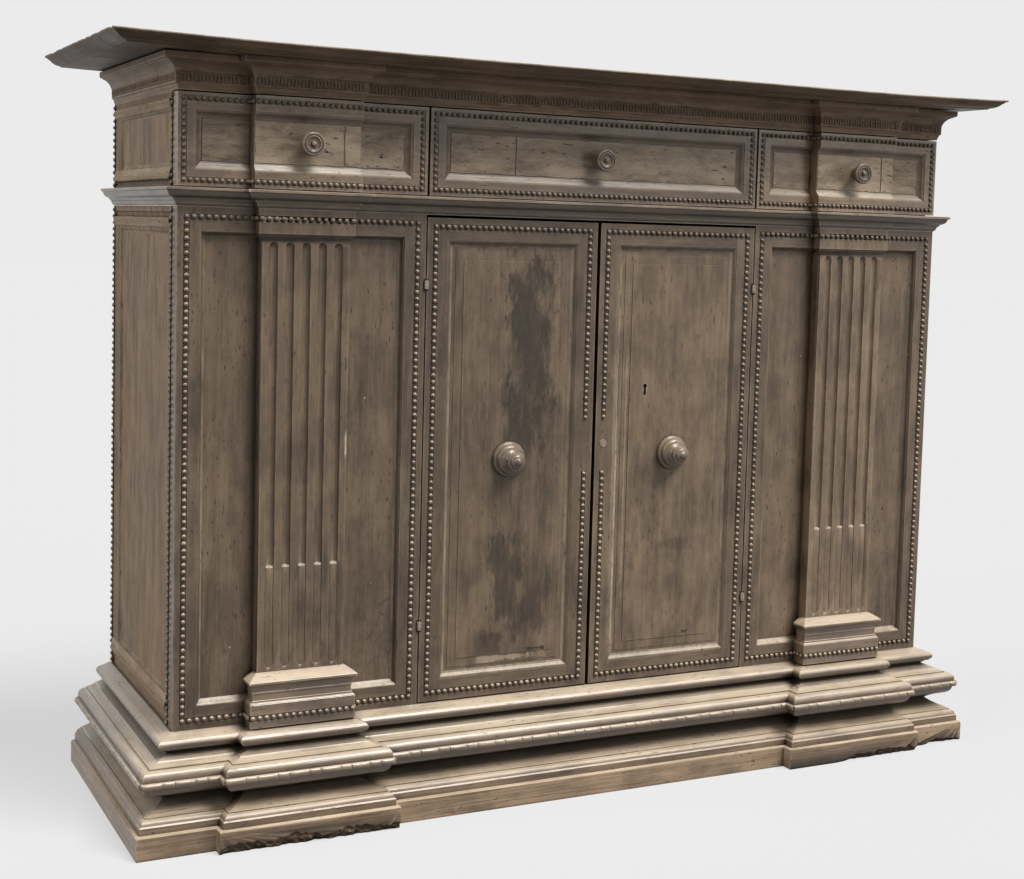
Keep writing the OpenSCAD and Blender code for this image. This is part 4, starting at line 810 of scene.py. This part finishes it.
def drawer_fields(place, number):
    """Thin boards laid in the field of a drawer front, split where old repairs meet."""
    low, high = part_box(place + "_drawer_front")
    edge = 36.5 * MM
    deep = 9 * MM
    z0, z1 = low.z + edge, high.z - edge
    x0, x1 = low.x + edge, high.x - edge
    bm = bmesh.new()
    centre = MIDDLE + PIERS[place]
    if place == "middle":
        seam = centre - 151 * MM
        spans = [(x0, seam, 0), (seam, x1, 0)]
    else:
        seam = centre + 56 * MM
        spans = [(x0, centre - BLOCK_HALF, 0), (centre - BLOCK_HALF, seam, BREAK_OUT),
                 (seam, centre + BLOCK_HALF, BREAK_OUT), (centre + BLOCK_HALF, x1, 0)]
    for i, (a, b, out) in enumerate(spans):
        ragged_field(bm, a + 0.2 * MM, b - 0.2 * MM, z0, z1, FRONT + deep - out, number * 7 + i)
    bmesh.ops.recalc_face_normals(bm, faces=bm.faces)
    material = wood(f"walnut_{place}_drawer_field", "x", seed=26 + number, tone=DRAWER_TONES[place], pits=0.9,
                    wax=0.15, depth=5)
    new_piece(place + "_drawer_field", bm, material, place + "_drawer")


def stile_plug():
    """Round plug in the meeting stile of the right door, where a fitting was once let in."""
    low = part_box("right_door_frame")[0]
    centre = Vector((low.x + 15 * MM, FRONT, 573 * MM))
    sides = 24
    bm = bmesh.new()
    rings = []
    for radius, out in ((6.6, -0.3), (6.4, 0.7), (5.0, 0.9), (4.6, 0.5), (1.5, 0.7)):
        ring = []
        for i in range(sides):
            around = 2 * math.pi * i / sides
            off = Vector((radius * math.cos(around), -out, radius * math.sin(around)))
            ring.append(bm.verts.new(centre + off * MM))
        rings.append(ring)
    for a, b in zip(rings, rings[1:]):
        for i in range(sides):
            j = (i + 1) % sides
            bm.faces.new((a[i], a[j], b[j], b[i]))
    bm.faces.new(rings[-1])
    bmesh.ops.recalc_face_normals(bm, faces=bm.faces)
    new_piece("right_door_plug", bm, carved, "right_door")


def shaft_depth(off, z, low, stop, high):
    """How deep a shaft's face lies at a distance off the middle of a flute. Below stop a reed fills it."""
    end = max(z - (high - FLUTE_HALF), (low + FLUTE_HALF) - z, 0)
    out = math.hypot(off, end) / FLUTE_HALF
    if out >= 1:
        return 0.0
    hollow = FLUTE_DEPTH * math.sqrt(1 - out * out)
    reed = 0.3 * MM + 1.5 * MM * out ** 8 * (1 - out ** 30)
    share = min(1, max(0, (z - stop) / REED_SLOPE))
    return reed + (hollow - reed) * share * share * (3 - 2 * share)


def fluted_shaft(side, sign):
    """A pier whose shaft has wide, softly worn flutes, with flat reeds in their lower part."""
    low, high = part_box(side + "_pilaster")
    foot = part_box(side + "_pilaster_base")[1].z
    head = high.z - CAP_BLOCK_HEIGHT - CAP_FILLETS
    middle = MIDDLE + sign * PIER_X
    face = FRONT - SHAFT_OUT
    bm = bmesh.new()
    bm.from_mesh(nodes[side + "_pilaster"].data)

    def on_face(vert):
        return vert.co.y < face + FLUTE_DEPTH + 1 * MM and foot - 0.1 * MM < vert.co.z < head + 0.1 * MM

    carved_faces = [f for f in bm.faces if all(on_face(v) for v in f.verts)]
    bmesh.ops.delete(bm, geom=carved_faces, context="FACES")
    flute_low, flute_high, stop = foot + 6 * MM, head - 2 * MM, foot + REED_HEIGHT
    centres = [(i - (FLUTE_COUNT - 1) / 2) * FLUTE_PITCH for i in range(FLUTE_COUNT)]
    across = [-SHAFT_WIDTH / 2]
    for centre in centres:
        across += [centre + share * FLUTE_HALF for share in
                   (-1, -0.97, -0.93, -0.86, -0.7, -0.4, 0, 0.4, 0.7, 0.86, 0.93, 0.97, 1)]
    across.append(SHAFT_WIDTH / 2)
    ends = [FLUTE_HALF * (1 - math.cos(math.radians(a))) for a in (0, 12, 25, 38, 52, 66, 90)]
    upward = [foot] + [flute_low + e for e in ends]
    upward += [upward[-1] + (stop - upward[-1]) * i / 4 for i in (1, 2, 3)]
    upward += [stop + REED_SLOPE * i / 5 for i in range(6)]
    last = upward[-1]
    upward += [last + (flute_high - FLUTE_HALF - last) * i / 12 for i in range(1, 12)]
    upward += [flute_high - e for e in reversed(ends)] + [head]
    grid = []
    for z in upward:
        row = []
        for x in across:
            off = min((x - c for c in centres), key=abs)
            worn = 0.5 * MM * max(0, noise.noise(Vector((x * 40, z * 14, sign))))
            deep = shaft_depth(off, z, flute_low, stop, flute_high)
            inside = foot < z < head and abs(x) < SHAFT_WIDTH / 2
            row.append(bm.verts.new((middle + x, face + deep + (worn if inside else 0), z)))
        grid.append(row)
    for lower, upper in zip(grid, grid[1:]):
        for i in range(len(across) - 1):
            bm.faces.new((lower[i], lower[i + 1], upper[i + 1], upper[i]))
    bmesh.ops.remove_doubles(bm, verts=bm.verts, dist=0.02 * MM)
    new_piece(side + "_fluted_shaft", bm, nodes[side + "_pilaster"].data.materials[0], "carcass",
              replaced=(side + "_pilaster",))


def build_stage():
    """Pale floor, pale surroundings and soft light from above, ahead and the left."""
    reach = 30
    corners = [(-reach, -reach, 0), (reach, -reach, 0), (reach, reach, 0), (-reach, reach, 0)]
    mesh = bpy.data.meshes.new("floor")
    mesh.from_pydata(corners, [], [(0, 1, 2, 3)])
    floor = bpy.data.objects.new("floor", mesh)
    bpy.context.scene.collection.objects.link(floor)
    material, tree = new_material("studio_floor")
    seen = background_rays(tree)
    colour = add(tree, "Mix", {0: seen, 6: linear(FLOOR_BOUNCE), 7: linear(FLOOR_SEEN)}, data_type="RGBA")
    matt = add(tree, "BsdfDiffuse", {"Color": colour})
    glow = add(tree, "Emission", {"Color": linear(FLOOR_GLOW), "Strength": seen})
    shader = add(tree, "AddShader", {0: matt, 1: glow})
    add(tree, "OutputMaterial", {"Surface": shader})
    mesh.materials.append(material)

    world = bpy.data.worlds.new("studio")
    bpy.context.scene.world = world
    world.use_nodes = True
    tree = world.node_tree
    tree.nodes.clear()
    light = add(tree, "Background", {"Color": linear("#ffffff"), "Strength": WORLD_LIGHT})
    pale = add(tree, "Background", {"Color": linear("#ebebeb"), "Strength": 1})
    mixed = add(tree, "MixShader", {0: background_rays(tree), 1: light, 2: pale})
    add(tree, "OutputWorld", {"Surface": mixed})

    for name, toward, strength, angle in LAMPS:
        lamp = bpy.data.lights.new(name, "SUN")
        lamp.energy = strength * math.pi
        lamp.angle = math.radians(angle)
        obj = bpy.data.objects.new(name, lamp)
        obj.rotation_mode = "QUATERNION"
        obj.rotation_quaternion = Vector(toward).to_track_quat("Z", "Y")
        bpy.context.scene.collection.objects.link(obj)


def background_rays(tree):
    """One for the rays that see the background, nothing for those that only light the piece."""
    path = add(tree, "LightPath")
    seen = add(tree, "Math", {0: path.outputs["Is Camera Ray"], 1: path.outputs["Is Transmission Ray"]},
               operation="MAXIMUM")
    return add(tree, "Math", {0: seen, 1: path.outputs["Is Glossy Ray"]}, operation="MAXIMUM")


def build_camera():
    """The camera of the photograph, level with the top of the doors and a little to the left."""
    data = bpy.data.cameras.new("camera")
    data.sensor_width = SENSOR_MM
    data.lens = FOCAL_PIXELS / PHOTO_WIDTH * SENSOR_MM
    data.shift_x, data.shift_y = FRAME_SHIFT
    data.clip_end = 100
    level = math.cos(CAMERA_PITCH)
    ahead = Vector((math.sin(CAMERA_YAW) * level, math.cos(CAMERA_YAW) * level, -math.sin(CAMERA_PITCH)))
    across = Vector((math.cos(CAMERA_YAW), -math.sin(CAMERA_YAW), 0))
    upward = across.cross(ahead)
    right = across * math.cos(CAMERA_ROLL) + upward * math.sin(CAMERA_ROLL)
    top = upward * math.cos(CAMERA_ROLL) - across * math.sin(CAMERA_ROLL)
    turn = Matrix((right, top, -ahead)).transposed().to_4x4()
    camera = bpy.data.objects.new("camera", data)
    camera.matrix_world = Matrix.Translation(CAMERA_PLACE) @ turn
    bpy.context.scene.collection.objects.link(camera)
    bpy.context.scene.camera = camera


def mark(x, y, z, half, *look):
    """A patch: place off the middle of the front, half size, colour, strength and fineness of its edge."""
    return ((MIDDLE + x, FRONT + y, z), half, *look)


# Name, direction towards the lamp, share of full light, and how wide it spreads in degrees
LAMPS = [
    ("key", (0.28, -0.42, 0.86), 1.44, 30),
    ("right_window", (0.60, -0.74, 0.30), 0.17, 30),
    ("left_window", (-0.90, 0.0, 0.42), 0.43, 40),
    ("back_window", (0.40, 0.88, 0.25), 0.14, 30),
]
WORLD_LIGHT = 0.05
FLOOR_SEEN = "#6e6e6e"
FLOOR_GLOW = "#cacaca"
FLOOR_BOUNCE = "#606060"

# Old stains on the door panels
DOOR_STAINS = {
    "left": [
        mark(-0.116, 0.004, 0.735, (0.041, 0.009, 0.165), "#30281f", 0.95),
        mark(-0.135, 0.004, 0.560, (0.030, 0.009, 0.050), "#3b3128", 0.5),
        mark(-0.150, 0.004, 0.350, (0.034, 0.009, 0.080), "#2a221b", 0.8),
        mark(-0.105, 0.004, 0.320, (0.030, 0.009, 0.060), "#362d25", 0.7),
        mark(-0.185, 0.004, 0.250, (0.030, 0.009, 0.020), "#2a221b", 0.6),
        mark(-0.101, 0.004, 0.2365, (0.028, 0.009, 0.003), "#0f0c09", 0.9),
        mark(-0.140, 0.004, 0.226, (0.060, 0.009, 0.005), "#b8a68e", 0.6),
    ],
    "right": [
        mark(0.150, 0.004, 0.395, (0.045, 0.009, 0.010), "#3b3128", 0.5),
        mark(0.110, 0.004, 0.480, (0.035, 0.009, 0.090), "#453a30", 0.5),
        mark(0.100, 0.004, 0.860, (0.025, 0.009, 0.045), "#3b3128", 0.45),
        mark(0.190, 0.004, 0.2394, (0.008, 0.009, 0.0035), "#0c0906", 1.0),
        mark(0.062, 0.004, 0.560, (0.0018, 0.009, 0.240), "#a8967f", 0.5, 300),
    ],
}

# Old breaks along the inner edge of the meeting stile of the right door
RIGHT_STILE_CHIPS = [
    mark(0.038, 0, 0.520, (0.0035, 0.1, 0.260), "#a8967f", 0.45, 330),
    mark(0.045, 0, 0.470, (0.0022, 0.1, 0.200), "#c0ae97", 0.7, 300),
    mark(0.047, 0, 0.680, (0.0022, 0.1, 0.140), "#17120e", 0.9, 300),
]

# Pale splinters along the right arris of the shafts
SHAFT_CHIPS = [
    mark(-PIER_X + 0.066, -0.013, 0.585, (0.0018, 0.1, 0.022), "#cbbaa2", 0.85, 260),
    mark(-PIER_X + 0.064, -0.013, 0.710, (0.0018, 0.1, 0.012), "#1a140f", 0.9, 200),
]

# Years of hands and damp have darkened the left end of the top board
TOP_MARKS = [
    mark(-HALF_WIDTH - 0.07, 0.15, 1.165, (0.14, 0.6, 0.05), "#2a221b", 0.55),
    mark(-HALF_WIDTH - 0.05, 0.02, 1.163, (0.07, 0.007, 0.03), "#120e0a", 0.9),
    mark(-HALF_WIDTH - 0.06, 0.19, 1.163, (0.07, 0.005, 0.03), "#120e0a", 0.9),
]

# Patches that have opened in cracks
BAY_CRACKS = mark(-0.372, 0.010, 0.300, (0.045, 0.1, 0.085))
TOP_CRACKS = mark(-HALF_WIDTH - 0.08, 0.10, 1.165, (0.07, 0.16, 0.05))

# The carved band of the cornice is darkened along its front, as dirt and as painted shade between the bars of
# the fret, and hands have worn pale spots in its hollow
CORNICE_MARKS = [
    mark(0, -0.015, 1.1275, (1.0, 0.03, 0.0095), "#1d1712", 0.55),
    mark(-0.325, -0.04, 1.152, (0.022, 0.1, 0.005), "#a8947c", 0.5),
    mark(0.46, -0.04, 1.148, (0.030, 0.1, 0.006), "#a8947c", 0.4),
    mark(-HALF_WIDTH - 0.02, 0.10, 1.138, (0.05, 0.0015, 0.016), "#0f0b08", 0.9),
]

bpy.context.scene.view_settings.view_transform = "Standard"
build_camera()
build_stage()

iron = forged_iron("forged_iron", "#8d867e", "#86705b", "#b0a99f")
lock_iron = forged_iron("forged_lock_iron", "#4e4944", "#5d4936", "#8b857c")
turned = wood("walnut_turned", "y", tone=0.8, dark="#59483a", middle="#857059", light="#c9b69c", seed=70,
              wear=0.8, wax=0.35, shine=0.4, gloss=(0.24, 0.34), pits=0.1, depth=10)
carved = wood("walnut_carved", "z", tone=0.82, dark="#54443a", middle="#85715b", light="#cab99f", seed=71,
              wear=0.35, wax=0.25, shine=0.22, gloss=(0.24, 0.34), dust_and_top_light=0.9, pits=0.1, depth=6)
rotten = wood("walnut_rotten", "x", dark="#2c241c", middle="#8a755e", light="#a8957c", seed=72, wear=0.4,
              wax=0, shine=0.2, gloss=(0.7, 0.85), dust_and_top_light=0.3, pits=1)
dress_mouldings()
dress_half("left")
dress_half("right")
dress_drawers()
dress_inside()
for node in nodes.values():
    smooth(node.data, 28)
for side, sign in (("left", -1), ("right", 1)):
    bay_beads(side)
    door_beads(side)
    side_beads(side, sign)
    side_mouldings(side, sign)
for number, place in enumerate(PIERS):
    drawer_beads(place)
    drawer_fields(place, number)
fret_band()
lip_tabs()
bent_top()
chipped_plinth()
stile_plug()
for side, sign in (("left", -1), ("right", 1)):
    fluted_shaft(side, sign)
